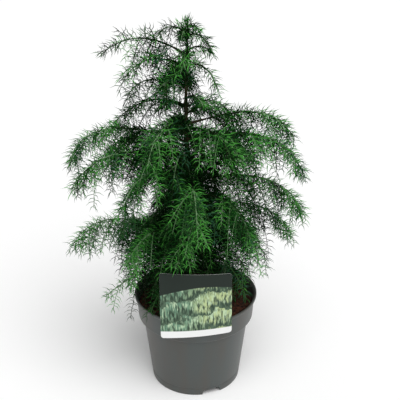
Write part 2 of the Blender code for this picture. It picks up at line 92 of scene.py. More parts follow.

# %% [markdown]
# ## Floor and light
#
# The tree stands on a bright white sweep under soft light from all round, with a broad lamp
# high at the front right that makes the outer sprays glow and leaves the inside of the crown
# dark. A white world gives the even part. For the lamp, a sun with a wide angle is better than
# a near area lamp, because it lights the whole floor evenly, out to the top of the picture. The
# floor is only a stage and is not attached to the model, so it never counts as part of the object.

# %% Make the stage and the lamps
FLOOR_SIDE = 60.0
FLOOR_WHITE = (0.97, 0.97, 0.97)
WORLD_STRENGTH = 0.31
SUN_STRENGTH = 2.8
SUN_SPREAD = 60
SUN_PLACE = Vector((0.35, -0.95, 1.65))


def plain_surface(name, colour, roughness, specular=0.5):
    """A Principled material of one colour, for what has no pattern of its own."""
    material = bpy.data.materials.new(name)
    material.use_nodes = True
    shader = material.node_tree.nodes["Principled BSDF"]
    shader.inputs["Base Color"].default_value = (*colour, 1)
    shader.inputs["Roughness"].default_value = roughness
    shader.inputs["Specular IOR Level"].default_value = specular
    return material


world = bpy.data.worlds.new("white room")
world.use_nodes = True
background = world.node_tree.nodes["Background"]
background.inputs["Color"].default_value = (1, 1, 1, 1)
background.inputs["Strength"].default_value = WORLD_STRENGTH
bpy.context.scene.world = world
bpy.context.scene.view_settings.view_transform = "Standard"
light = bpy.data.lights.new("key lamp", "SUN")
light.energy = SUN_STRENGTH
light.angle = math.radians(SUN_SPREAD)
sun = bpy.data.objects.new("key lamp", light)
bpy.context.scene.collection.objects.link(sun)
sun.rotation_euler = (-SUN_PLACE).to_track_quat("-Z", "Y").to_euler()

bpy.ops.mesh.primitive_plane_add(size=FLOOR_SIDE)
floor = bpy.context.object
floor.name = "floor"
floor.data.materials.append(plain_surface("white floor", FLOOR_WHITE, roughness=0.9, specular=0.1))
print("floor:", FLOOR_SIDE, "m wide, lamp spread:", SUN_SPREAD, "degrees")

# %% [markdown]
# ## Helpers for pieces and meshes
#
# Every piece needs the same few steps: link it, give it its finish, let it ride with the
# construction model and hide the plain solids that it stands for. The leafy pieces hold a
# great many triangles, and filling a mesh from arrays is far quicker than adding faces one by
# one. The pot, the peat, the bark and the twigs are all rings of corners, so one helper joins
# such rings by triangles.

# %% Helpers
CM = 0.01
MM = 0.001
UP = Vector((0, 0, 1))


def part_way(first, last, share):
    """What lies a share of the way from one value to another."""
    return first + (last - first) * share


def shares(steps):
    """Evenly spaced shares from 0 to 1, both ends included."""
    return [step / steps for step in range(steps + 1)]


def level_way(turn):
    """The level direction at a turn from +X."""
    return Vector((math.cos(turn), math.sin(turn), 0))


def add_piece(name, mesh, materials, nodes=()):
    """Put a mesh in the scene as a piece, in place of the plain solids that are named."""
    piece = bpy.data.objects.new(name, mesh)
    bpy.context.scene.collection.objects.link(piece)
    for material in materials:
        mesh.materials.append(material)
    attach(piece, "root")
    if nodes:
        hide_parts(*nodes)
    return piece


def mesh_from_arrays(name, points, triangles, kinds=None, smooth=True):
    """A mesh from an array of corners and one of triangles, with a material number for each."""
    mesh = bpy.data.meshes.new(name)
    count = len(triangles)
    mesh.vertices.add(len(points))
    mesh.vertices.foreach_set("co", np.asarray(points, np.float32).ravel())
    mesh.loops.add(3 * count)
    mesh.loops.foreach_set("vertex_index", np.asarray(triangles, np.int32).ravel())
    mesh.polygons.add(count)
    mesh.polygons.foreach_set("loop_start", np.arange(0, 3 * count, 3, dtype=np.int32))
    mesh.polygons.foreach_set("use_smooth", np.full(count, smooth))
    if kinds is not None:
        mesh.polygons.foreach_set("material_index", np.asarray(kinds, np.int32))
    mesh.update(calc_edges=True)
    mesh.validate()
    return mesh


def mesh_from_bmesh(bm, name):
    """Turn a bmesh into a mesh of its own and free it."""
    mesh = bpy.data.meshes.new(name)
    bm.to_mesh(mesh)
    bm.free()
    mesh.polygons.foreach_set("use_smooth", [True] * len(mesh.polygons))
    return mesh


def joined(parts):
    """Join (points, triangles) pairs into one pair of arrays."""
    points = np.concatenate([part[0] for part in parts])
    starts = np.cumsum([0] + [len(part[0]) for part in parts[:-1]])
    triangles = np.concatenate([part[1] + start for part, start in zip(parts, starts)])
    return points, triangles


def ring_triangles(rings, sides):
    """Triangles between rings of corners, and to a point at each end that follows them."""
    here = np.arange(sides)
    ahead = np.roll(here, -1)
    low = (np.arange(rings - 1) * sides)[:, None]
    first = np.stack([low + here, low + ahead, low + sides + ahead], 2).reshape(-1, 3)
    second = np.stack([low + here, low + sides + ahead, low + sides + here], 2).reshape(-1, 3)
    foot = rings * sides
    last = foot - sides
    foot_cap = np.stack([np.full(sides, foot), ahead, here], 1)
    tip_cap = np.stack([np.full(sides, foot + 1), last + here, last + ahead], 1)
    return np.concatenate([first, second, foot_cap, tip_cap])


print("lengths are in metres: a millimetre is", MM)

# %% [markdown]
# ## Shared finishes
#
# Moulded plastic, peat, bark and card all vary a little in colour and are never quite smooth.
# Both effects are wanted in many materials, so each is a node group, built once: one mixes two
# colours by a noise that can be stretched along an axis, and one turns a fine noise into a
# normal. The shader itself stays in each material, where its plain values are easy to find. A
# few helpers add nodes and feed their sockets, because node by node the same lines come back.

# %% Node helpers
MIX_FIRST = 6
MIX_SECOND = 7
MIX_RESULT = 2


def feed(tree, socket, value):
    """Give a socket its input: a link from another socket, or a plain value."""
    if isinstance(value, bpy.types.NodeSocket):
        tree.links.new(value, socket)
    elif value is not None:
        socket.default_value = value


def add_node(tree, kind, **inputs):
    """A node of a kind with its named inputs fed; _ in a name stands for a space."""
    node = tree.nodes.new(f"ShaderNode{kind}")
    for name, value in inputs.items():
        feed(tree, node.inputs[name.replace("_", " ")], value)
    return node


def maths(tree, kind, operation, first, second=None):
    """The result of a Math or VectorMath node."""
    node = add_node(tree, kind)
    node.operation = operation
    feed(tree, node.inputs[0], first)
    feed(tree, node.inputs[1], second)
    return node.outputs[0]


def blend_colours(tree, factor, first, second):
    """A colour between two, from the numbered colour sockets of a Mix node."""
    node = add_node(tree, "Mix")
    node.data_type = "RGBA"
    feed(tree, node.inputs["Factor"], factor)
    feed(tree, node.inputs[MIX_FIRST], first)
    feed(tree, node.inputs[MIX_SECOND], second)
    return node.outputs[MIX_RESULT]


print("a Mix node takes its two colours at sockets", MIX_FIRST, "and", MIX_SECOND)

# %% Node groups
MOTTLE_DETAIL = 5
RELIEF_DETAIL = 4
GREY = (0.5, 0.5, 0.5, 1)


def new_group(name, inputs, output_kinds):
    """An empty shader group with named sockets, and the sockets inside that its nodes link to."""
    group = bpy.data.node_groups.new(name, "ShaderNodeTree")
    for socket, (kind, value) in inputs.items():
        made = group.interface.new_socket(name=socket, in_out="INPUT", socket_type=f"NodeSocket{kind}")
        made.default_value = value
    for socket, kind in output_kinds.items():
        group.interface.new_socket(name=socket, in_out="OUTPUT", socket_type=f"NodeSocket{kind}")
    entry = group.nodes.new("NodeGroupInput").outputs
    return group, entry, group.nodes.new("NodeGroupOutput").inputs


def stretched_noise(group, entry, detail):
    """A noise over the object's own coordinates, stretched by the group's inputs."""
    place = add_node(group, "TexCoord").outputs["Object"]
    stretched = maths(group, "VectorMath", "MULTIPLY", place, entry["Stretch"])
    noise_node = add_node(group, "TexNoise", Vector=stretched, Scale=entry["Scale"], Detail=detail)
    return noise_node.outputs["Fac"]


def make_mottle():
    """The group that mixes two colours by a noise: it gives a colour and its mask."""
    inputs = {
        "First": ("Color", GREY), "Second": ("Color", GREY),
        "Scale": ("Float", 10.0), "Stretch": ("Vector", (1, 1, 1)),
        "Low": ("Float", 0.35), "High": ("Float", 0.65),
    }
    group, entry, leave = new_group("mottle", inputs, {"Color": "Color", "Mask": "Float"})
    pattern = stretched_noise(group, entry, MOTTLE_DETAIL)
    spread = add_node(group, "MapRange", Value=pattern, From_Min=entry["Low"], From_Max=entry["High"])
    mask = spread.outputs["Result"]
    feed(group, leave["Color"], blend_colours(group, mask, entry["First"], entry["Second"]))
    feed(group, leave["Mask"], mask)
    return group


def make_relief():
    """The group that turns a fine noise into a normal."""
    inputs = {
        "Scale": ("Float", 400.0), "Stretch": ("Vector", (1, 1, 1)),
        "Strength": ("Float", 0.3), "Distance": ("Float", 0.0002),
    }
    group, entry, leave = new_group("fine relief", inputs, {"Normal": "Vector"})
    pattern = stretched_noise(group, entry, RELIEF_DETAIL)
    bump = add_node(group, "Bump", Height=pattern, Strength=entry["Strength"], Distance=entry["Distance"])
    feed(group, leave["Normal"], bump.outputs["Normal"])
    return group


MOTTLE = make_mottle()
RELIEF = make_relief()


def place_group(material, group, **values):
    """Place a shared group in a material and set its inputs."""
    node = add_node(material.node_tree, "Group")
    node.node_tree = group
    for name, value in values.items():
        node.inputs[name].default_value = value
    return node


def surface(name, first, second, mottle, relief, roughness, specular):
    """A Principled material whose colour is mottled and whose surface has a fine relief."""
    material = plain_surface(name, first, roughness, specular)
    shader = material.node_tree.nodes["Principled BSDF"]
    colour = place_group(material, MOTTLE, First=(*first, 1), Second=(*second, 1), **mottle)
    grain = place_group(material, RELIEF, **relief)
    feed(material.node_tree, shader.inputs["Base Color"], colour.outputs["Color"])
    feed(material.node_tree, shader.inputs["Normal"], grain.outputs["Normal"])
    return material


print("shared groups:", MOTTLE.name, "and", RELIEF.name)

# %% [markdown]
# ## The pot
#
# A nursery pot is injection moulded: a thin tapering wall, a deep collar that lets pots stack,
# a rolled lip and a foot ring with notches that let water out. A Screw modifier would turn its
# outline too, but turning it in numbers lets the corners be rounded by a formula first. The
# notches are then cut with a Boolean, which keeps their edges crisp.

# %% Rounded and turned outlines
LATHE_STEPS = 144
ARC_STEPS = 3
CORNER_SHARE = 0.45
AXIS_RADIUS = 1e-6


def rounded(outline, radius):
    """Round the inner corners of a flat line of points with small arcs."""
    soft = [Vector(outline[0])]
    for before, corner, after in zip(outline, outline[1:], outline[2:]):
        corner = Vector(corner)
        back = Vector(before) - corner
        ahead = Vector(after) - corner
        reach = min(radius, CORNER_SHARE * back.length, CORNER_SHARE * ahead.length)
        start = corner + back.normalized() * reach
        end = corner + ahead.normalized() * reach
        for t in shares(ARC_STEPS):
            soft.append(start.lerp(corner, t).lerp(corner.lerp(end, t), t))
    soft.append(Vector(outline[-1]))
    return soft


def lathe(name, outline):
    """Turn an outline that starts and ends on the axis about it, into a closed mesh."""
    rings = [point for point in outline if point[0] > AXIS_RADIUS]
    turns = np.arange(LATHE_STEPS) * 2 * math.pi / LATHE_STEPS
    points = [(radius * math.cos(turn), radius * math.sin(turn), height)
              for radius, height in rings for turn in turns]
    points += [(0, 0, outline[0][1]), (0, 0, outline[-1][1])]
    return mesh_from_arrays(name, points, ring_triangles(len(rings), LATHE_STEPS))


print("a turned outline has", LATHE_STEPS, "steps round the axis")

# %% Pot sizes
pot_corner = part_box("pot")[1]
RIM_RADIUS = pot_corner.x
POT_HEIGHT = pot_corner.z
POT_WALL = 2.2 * MM
LIP_DEPTH = 6 * MM
LIP_FOOT = 1.2 * LIP_DEPTH
LIP_CORNER = 0.75 * LIP_DEPTH
LIP_THICKNESS = 1.2 * POT_WALL
COLLAR_TOP_RADIUS = 108.6 * MM
COLLAR_FOOT_RADIUS = 106 * MM
COLLAR_FOOT = 132 * MM
BODY_TOP_RADIUS = 97 * MM
BODY_TOP = 127 * MM
BASE_RADIUS = 82.5 * MM
FOOT_RING_THICKNESS = 1.4 * POT_WALL
FLOOR_RISE = 7 * MM
FLOOR_THICKNESS = 2.5 * MM
PAD_RADIUS = 30 * MM
PAD_SLOPE = 4 * MM
MOULD_ROUNDING = 1.4 * MM
FOOT_GROOVE = 14 * MM
GROOVE_DEPTH = 0.5 * MM


def inner_radius(height):
    """Radius of the pot's inner wall at a height."""
    if height > COLLAR_FOOT:
        share = (height - COLLAR_FOOT) / (POT_HEIGHT - COLLAR_FOOT)
        return part_way(COLLAR_FOOT_RADIUS, COLLAR_TOP_RADIUS, share) - POT_WALL
    return part_way(BASE_RADIUS, BODY_TOP_RADIUS, height / BODY_TOP) - POT_WALL


def body_radius(height):
    """Radius of the pot's outer wall below the collar."""
    return inner_radius(height) + POT_WALL


floor_top = FLOOR_RISE + FLOOR_THICKNESS
pot_outline = [
    (0, 0),
    (PAD_RADIUS, 0),
    (PAD_RADIUS + PAD_SLOPE, FLOOR_RISE),
    (BASE_RADIUS - FOOT_RING_THICKNESS, FLOOR_RISE),
    (BASE_RADIUS - FOOT_RING_THICKNESS, 0),
    (BASE_RADIUS, 0),
    (body_radius(FOOT_GROOVE), FOOT_GROOVE),
    (body_radius(FOOT_GROOVE) - GROOVE_DEPTH, FOOT_GROOVE + 2 * GROOVE_DEPTH),
    (body_radius(FOOT_GROOVE) + GROOVE_DEPTH / 2, FOOT_GROOVE + 4 * GROOVE_DEPTH),
    (BODY_TOP_RADIUS, BODY_TOP - POT_WALL),
    (COLLAR_FOOT_RADIUS - POT_WALL, COLLAR_FOOT - POT_WALL),
    (COLLAR_FOOT_RADIUS, COLLAR_FOOT),
    (COLLAR_TOP_RADIUS, POT_HEIGHT - LIP_FOOT),
    (RIM_RADIUS, POT_HEIGHT - LIP_CORNER),
    (RIM_RADIUS, POT_HEIGHT),
    (RIM_RADIUS - LIP_THICKNESS, POT_HEIGHT),
    (COLLAR_TOP_RADIUS - POT_WALL, POT_HEIGHT - LIP_DEPTH),
    (COLLAR_FOOT_RADIUS - POT_WALL, COLLAR_FOOT),
    (inner_radius(BODY_TOP), BODY_TOP),
    (inner_radius(floor_top), floor_top),
    (PAD_RADIUS + PAD_SLOPE, floor_top),
    (PAD_RADIUS, FLOOR_THICKNESS),
    (0, FLOOR_THICKNESS),
]
print("pot outline:", len(pot_outline), "corners")

# %% [markdown]
# The grey plastic is made of recycled stock, so its grey drifts in faint upright streaks under a
# satin skin, and dust from the peat clings near the rim. The pale specks near the rim are also
# painted light, which makes the collar lighter than the body below it. The mottle group makes
# the streaks, with its noise drawn out upright, and a second one makes the specks of dust and
# painted light. A height mask keeps them at the top, which is simpler than painting them on.

# %% Turn the pot and cut its notches
NOTCH_COUNT = 3
NOTCH_AZIMUTH = 292
NOTCH_WIDTH = 40 * MM
NOTCH_TOP_WIDTH = 30 * MM
NOTCH_HEIGHT = 11 * MM
NOTCH_REACH = 20 * MM
NOTCH_ROUNDING = 4 * MM
NOTCH_STEPS = 4
SQUARE_TURN = math.radians(45)
# Pale specks near the rim: peat dust, and painted light that makes the collar lighter.
DUST_AND_LIGHT_SPECKS = {"Scale": 260.0, "Low": 0.56, "High": 0.72}
DUST_AND_LIGHT_COLOUR = (0.10, 0.085, 0.06, 1)
DUST_AND_LIGHT_HEIGHTS = (150 * MM, 176 * MM)
DUST_AND_LIGHT_MOST = 0.6
SMOOTH_ANGLE = 40


def make_grey_plastic():
    """Satin grey plastic with faint upright streaks, and pale specks near the rim: peat dust and painted
    light.
    """
    material = surface(
        "grey plastic", (0.068, 0.067, 0.060), (0.061, 0.071, 0.068), roughness=0.40, specular=0.4,
        mottle={"Scale": 9.0, "Stretch": (4, 4, 0.5), "Low": 0.38, "High": 0.62},
        relief={"Scale": 1500.0, "Strength": 0.25, "Distance": 0.0001},
    )
    tree = material.node_tree
    base = tree.nodes["Principled BSDF"].inputs["Base Color"]
    clean = base.links[0].from_socket
    # The specks are peat dust and painted light: near the rim they lighten the collar.
    specks = place_group(material, MOTTLE, **DUST_AND_LIGHT_SPECKS)
    place = add_node(tree, "TexCoord")
    split = add_node(tree, "SeparateXYZ", Vector=place.outputs["Object"])
    height = add_node(tree, "MapRange", Value=split.outputs["Z"], From_Min=DUST_AND_LIGHT_HEIGHTS[0],
                      From_Max=DUST_AND_LIGHT_HEIGHTS[1], To_Max=DUST_AND_LIGHT_MOST)
    dust_and_light = maths(tree, "Math", "MULTIPLY", height.outputs["Result"], specks.outputs["Mask"])
    feed(tree, base, blend_colours(tree, dust_and_light, clean, DUST_AND_LIGHT_COLOUR))
    return material


def cut_notches(piece):
    """Cut the drain notches through the foot ring, then drop the cutters."""
    for index in range(NOTCH_COUNT):
        bm = bmesh.new()
        bmesh.ops.create_cone(
            bm, cap_ends=True, segments=4, radius1=NOTCH_WIDTH / math.sqrt(2),
            radius2=NOTCH_TOP_WIDTH / math.sqrt(2), depth=2 * NOTCH_HEIGHT,
            matrix=Matrix.Rotation(SQUARE_TURN, 4, "Z"),
        )
        bmesh.ops.scale(bm, vec=(NOTCH_REACH / NOTCH_WIDTH, 1, 1), verts=bm.verts)
        upright = [edge for edge in bm.edges if abs(edge.verts[0].co.z - edge.verts[1].co.z) > MM]
        top = [edge for edge in bm.edges if min(vert.co.z for vert in edge.verts) > MM]
        bmesh.ops.bevel(bm, geom=upright + top, offset=NOTCH_ROUNDING, segments=NOTCH_STEPS,
                        affect="EDGES", profile=0.5)
        cutter = bpy.data.objects.new("notch", mesh_from_bmesh(bm, "notch"))
        bpy.context.scene.collection.objects.link(cutter)
        turn = math.radians(NOTCH_AZIMUTH + 360 * index / NOTCH_COUNT)
        cutter.rotation_euler = (0, 0, turn)
        cutter.location = BASE_RADIUS * level_way(turn)
        cut = piece.modifiers.new("notch", "BOOLEAN")
        cut.operation = "DIFFERENCE"
        cut.object = cutter
        depsgraph = bpy.context.evaluated_depsgraph_get()
        mesh = bpy.data.meshes.new_from_object(piece.evaluated_get(depsgraph), depsgraph=depsgraph)
        piece.modifiers.clear()
        piece.data = mesh
        bpy.data.objects.remove(cutter)


grey_plastic = make_grey_plastic()
pot = add_piece("moulded_pot", lathe("pot", rounded(pot_outline, MOULD_ROUNDING)),
                [grey_plastic], ["pot"])
cut_notches(pot)
pot.data.set_sharp_from_angle(angle=math.radians(SMOOTH_ANGLE))
print("pot:", len(pot.data.polygons), "faces")

# %% [markdown]
# ## The peat
#
# The root ball fills the pot to about two centimetres under the rim. Its top is peat: dark,
# red-brown and crumbly. The surface is a fine disc pushed up and down by a fractal noise, with
# the sides carried down inside the wall so that it is a closed solid. Loose crumbs lie on top,
# because noise alone looks like mud.

# %% Peat surface
SOIL_LEVEL = 157 * MM
SOIL_EDGE_LEVEL = 153 * MM
SOIL_FLAT_RADIUS = 40 * MM
WALL_GAP = 0.4 * MM
TOP_RINGS = 64
CLOD_SIZE = 11 * MM
CLOD_HEIGHT = 2.2 * MM
CLOD_FRACTAL = (0.8, 2.2, 4)
GRAIN_SIZE = 3.2 * MM
GRAIN_HEIGHT = 0.9 * MM
SEED = 1600


def peat_level(x, y):
    """Height of the peat at a place: level round the trunk, lower at the wall, lumpy all over."""
    radius = math.hypot(x, y)
    edge = inner_radius(SOIL_EDGE_LEVEL)
    slope = max(0.0, (radius - SOIL_FLAT_RADIUS) / (edge - SOIL_FLAT_RADIUS))
    level = part_way(SOIL_LEVEL, SOIL_EDGE_LEVEL, slope)
    clods = noise.fractal(Vector((x, y, 0)) / CLOD_SIZE, *CLOD_FRACTAL)
    grains = noise.noise(Vector((x, y, 1)) / GRAIN_SIZE)
    return level + CLOD_HEIGHT * clods + GRAIN_HEIGHT * grains


def make_peat_ball():
    """The root ball as a turned solid, its top rings pushed to the lumpy peat's height."""
    edge = inner_radius(SOIL_EDGE_LEVEL) - WALL_GAP
    bottom = floor_top + WALL_GAP
    outline = [(0, bottom), (inner_radius(bottom) - WALL_GAP, bottom)]
    outline.append((inner_radius(BODY_TOP) - WALL_GAP, BODY_TOP))
    outline.append((COLLAR_FOOT_RADIUS - POT_WALL - WALL_GAP, COLLAR_FOOT + 2 * WALL_GAP))
    for ring in range(TOP_RINGS):
        outline.append((edge * (1 - ring / TOP_RINGS), SOIL_LEVEL))
    outline.append((0, SOIL_LEVEL))
    mesh = lathe("peat", outline)
    for vert in mesh.vertices:
        if vert.co.z > COLLAR_FOOT + MM:
            vert.co.z = peat_level(vert.co.x, vert.co.y)
    return mesh


peat_surface = surface(
    "moist peat", (0.012, 0.0050, 0.0030), (0.090, 0.028, 0.014), roughness=0.9, specular=0.25,
    mottle={"Scale": 190.0, "Low": 0.38, "High": 0.68},
    relief={"Scale": 700.0, "Strength": 0.8, "Distance": 0.0008},
)
peat = add_piece("peat_ball", make_peat_ball(), [peat_surface], ["soil"])
print("peat:", len(peat.data.polygons), "faces")

# %% Crumbs on the peat
CRUMB_COUNT = 1500
CRUMB_RADII = (0.5 * MM, 2.3 * MM)
CRUMB_RARITY = 3
CRUMB_SHAPES = ((0.7, 1.5), (0.6, 1.1), (0.5, 0.9))
CRUMB_JITTER = 0.35
CRUMB_LIFT = 0.2
CRUMB_WALL_GAP = 3 * MM
PEAT_CRUMBS = 0.7
bark_crumb = surface(
    "bark crumb", (0.075, 0.036, 0.020), (0.030, 0.014, 0.009), roughness=0.85, specular=0.25,
    mottle={"Scale": 500.0}, relief={"Scale": 900.0, "Strength": 0.6},
)


def make_crumbs(rng):
    """Small crushed icospheres, half sunk in the peat."""
    bm = bmesh.new()
    bmesh.ops.create_icosphere(bm, subdivisions=1, radius=1)
    ball = np.array([vert.co[:] for vert in bm.verts])
    faces = np.array([[vert.index for vert in face.verts] for face in bm.faces])
    bm.free()
    parts = []
    kinds = []
    edge = inner_radius(SOIL_EDGE_LEVEL) - CRUMB_WALL_GAP
    for index in range(CRUMB_COUNT):
        radius = edge * math.sqrt(rng.random())
        turn = rng.uniform(0, 2 * math.pi)
        x = radius * math.cos(turn)
        y = radius * math.sin(turn)
        size = part_way(*CRUMB_RADII, rng.random() ** CRUMB_RARITY)
        squash = np.array([rng.uniform(*span) for span in CRUMB_SHAPES])
        jitter = np.array([[rng.uniform(-1, 1) for axis in range(3)] for corner in ball])
        spin = np.array(Matrix.Rotation(rng.uniform(0, math.pi), 3, "Z"))
        shape = (ball + CRUMB_JITTER * jitter) * squash * size
        place = np.array([x, y, peat_level(x, y) + CRUMB_LIFT * size])
        parts.append((shape @ spin + place, faces))
        kinds += [0 if rng.random() < PEAT_CRUMBS else 1] * len(faces)
    points, triangles = joined(parts)
    return mesh_from_arrays("crumbs", points, triangles, kinds, smooth=False)


crumbs = add_piece("peat_crumbs", make_crumbs(random.Random(SEED)), [peat_surface, bark_crumb])
print("crumbs:", len(crumbs.data.polygons), "faces")

# %% [markdown]
# ## The picture card
#
# A printed plastic card hangs over the front of the rim by a tongue on its back. It is bent a
# little by the pot and twisted by the way it hangs. A grid bent by a formula keeps its flat
# coordinates in a UV map, and a generic print is drawn from those by nodes: a charcoal band
# above, tiers of hanging strokes with small glints that run from blue-green to yellow-green, and
# a plain white strip below. An image could do that too, but nodes stay sharp at any size. The
# places in the print are shares of the card's width and height.

# %% Card shape
CARD_WIDTH = 122 * MM
CARD_HEIGHT = 122 * MM
CARD_BOTTOM = 149 * MM
CARD_THICKNESS = 0.7 * MM
CARD_FRONT = 114 * MM
CARD_CENTRE_X = 4 * MM
CARD_BEND_RADIUS = 320 * MM
CARD_TWIST = 10 * MM
CARD_YAW = 4.2
CARD_ROLL = 0.7
CARD_CORNER = 5 * MM
CARD_COLUMNS = 24
CARD_ROWS = 20
CORNER_STEPS = 5
HOOK_WIDTH = 22 * MM
HOOK_THICKNESS = 0.8 * MM
HOOK_RISE = 1.2 * MM
HOOK_INNER = 104.3 * MM
HOOK_DEPTH = 15 * MM
HOOK_ROUNDING = 2 * MM
EDGE_ROUNDING_SHARE = 0.2


def card_point(across, up):
    """A point of the bent and slightly twisted card, from its place on the flat sheet."""
    back = across * across / (2 * CARD_BEND_RADIUS) + across * math.sin(math.radians(CARD_YAW))
    twist = CARD_TWIST * (across / CARD_WIDTH) * (2 * up / CARD_HEIGHT - 1)
    roll = math.radians(CARD_ROLL)
    x = across * math.cos(roll) - up * math.sin(roll)
    z = across * math.sin(roll) + up * math.cos(roll)
    return Vector((CARD_CENTRE_X + x, -CARD_FRONT + back - twist, CARD_BOTTOM + z))


def make_card():
    """A bent sheet with rounded corners, its flat coordinates kept as UVs."""
    turns = [math.pi / 2 * share for share in shares(CORNER_STEPS)]
    low = [(CARD_CORNER * (1 - math.cos(turn)), CARD_CORNER * (1 - math.sin(turn))) for turn in turns]
    middle = [part_way(CARD_CORNER, CARD_HEIGHT - CARD_CORNER, share) for share in shares(CARD_ROWS)]
    rows = low + [(up, 0) for up in middle[1:-1]]
    rows += [(CARD_HEIGHT - up, inset) for up, inset in reversed(low)]
    bm = bmesh.new()
    layer = bm.loops.layers.uv.new("flat")
    flat = {}
    grid = []
    for up, inset in rows:
        half = CARD_WIDTH / 2 - inset
        line = []
        for share in shares(CARD_COLUMNS):
            across = half * (2 * share - 1)
            line.append(bm.verts.new(card_point(across, up)))
            flat[line[-1]] = (across / CARD_WIDTH + 0.5, up / CARD_HEIGHT)
        grid.append(line)
    for lower, upper in zip(grid, grid[1:]):
        for column in range(CARD_COLUMNS):
            face = bm.faces.new((lower[column], lower[column + 1], upper[column + 1], upper[column]))
            for loop in face.loops:
                loop[layer].uv = flat[loop.vert]
    return mesh_from_bmesh(bm, "card")


def make_tongue():
    """The strip behind the card that goes over the rim and down inside the pot."""
    over_rim = POT_HEIGHT + HOOK_RISE
    route = [
        Vector((-CARD_FRONT, over_rim)),
        Vector((-HOOK_INNER - 2 * HOOK_THICKNESS, over_rim)),
        Vector((-HOOK_INNER, over_rim - 2 * HOOK_THICKNESS)),
        Vector((-HOOK_INNER, over_rim - HOOK_DEPTH)),
    ]
    bm = bmesh.new()
    left = [bm.verts.new((-HOOK_WIDTH / 2, y, z)) for y, z in rounded(route, HOOK_ROUNDING)]
    for first, second in zip(left, left[1:]):
        bm.edges.new((first, second))
    strip = bmesh.ops.extrude_edge_only(bm, edges=bm.edges[:])
    moved = [item for item in strip["geom"] if isinstance(item, bmesh.types.BMVert)]
    bmesh.ops.translate(bm, vec=(HOOK_WIDTH, 0, 0), verts=moved)
    for vert in bm.verts:
        if vert.co.y < -CARD_FRONT + HOOK_THICKNESS:
            card_y = card_point(vert.co.x - CARD_CENTRE_X, over_rim - CARD_BOTTOM).y
            vert.co.y = card_y + HOOK_THICKNESS / 2
    return mesh_from_bmesh(bm, "tongue")


def thicken(piece, thickness):
    """Give a sheet its thickness, evenly on both sides, with a slight round on its edges."""
    sheet = piece.modifiers.new("sheet", "SOLIDIFY")
    sheet.thickness = thickness
    sheet.offset = 0
    soften = piece.modifiers.new("soft edges", "BEVEL")
    soften.width = EDGE_ROUNDING_SHARE * thickness
    soften.segments = 2


print("card:", round(CARD_WIDTH / MM), "by", round(CARD_HEIGHT / MM), "mm")

# %% Card print
BAND_FOOT = 0.655
BAND_BOW = 0.145
BAND_TURN = 0.72 * math.pi
BAND_SOFTNESS = 0.004
STRIP_TOP = 0.105
CHARCOAL = (0.014, 0.022, 0.017, 1)
STRIP_WHITE = (0.80, 0.81, 0.80, 1)
DRIFT_SCALE = 3.5
DRIFT_DETAIL = 3.0
STROKE_COUNTS = (40, 9, 1)
STROKE_DETAIL = 4.0
TIER_COUNT = 3.4
TIER_SLOPE = -0.25
TIER_DRIFT = 0.55
TIER_RAGGEDNESS = 0.22
STROKE_HANG = 0.9
LIT_EDGE = (0.92, 0.22)
STROKE_EDGE = (0.42, 0.12)
WARM_DRIFT = 0.7
WARM_EDGE = (0.86, 0.16)
GROUND_EDGE = (0.5, 0.1)
GLINT_EDGE = (0.56, 0.07)
PRINT_GROUND = (0.085, 0.14, 0.090, 1)
PRINT_SHADE = (0.030, 0.055, 0.035, 1)
PRINT_COOL = (0.145, 0.27, 0.18, 1)
PRINT_WARM = (0.46, 0.56, 0.28, 1)
PRINT_GLINT = (0.50, 0.66, 0.44, 1)


def added(tree, base, value, factor):
    """A value times a factor, added to a base."""
    return maths(tree, "Math", "ADD", base, maths(tree, "Math", "MULTIPLY", value, factor))


def steps_up(tree, value, edge, softness):
    """A mask that goes from 0 to 1 where a value passes an edge."""
    distance = maths(tree, "Math", "SUBTRACT", value, edge)
    node = add_node(tree, "MapRange", Value=distance, From_Min=-softness, From_Max=softness)
    return node.outputs["Result"]


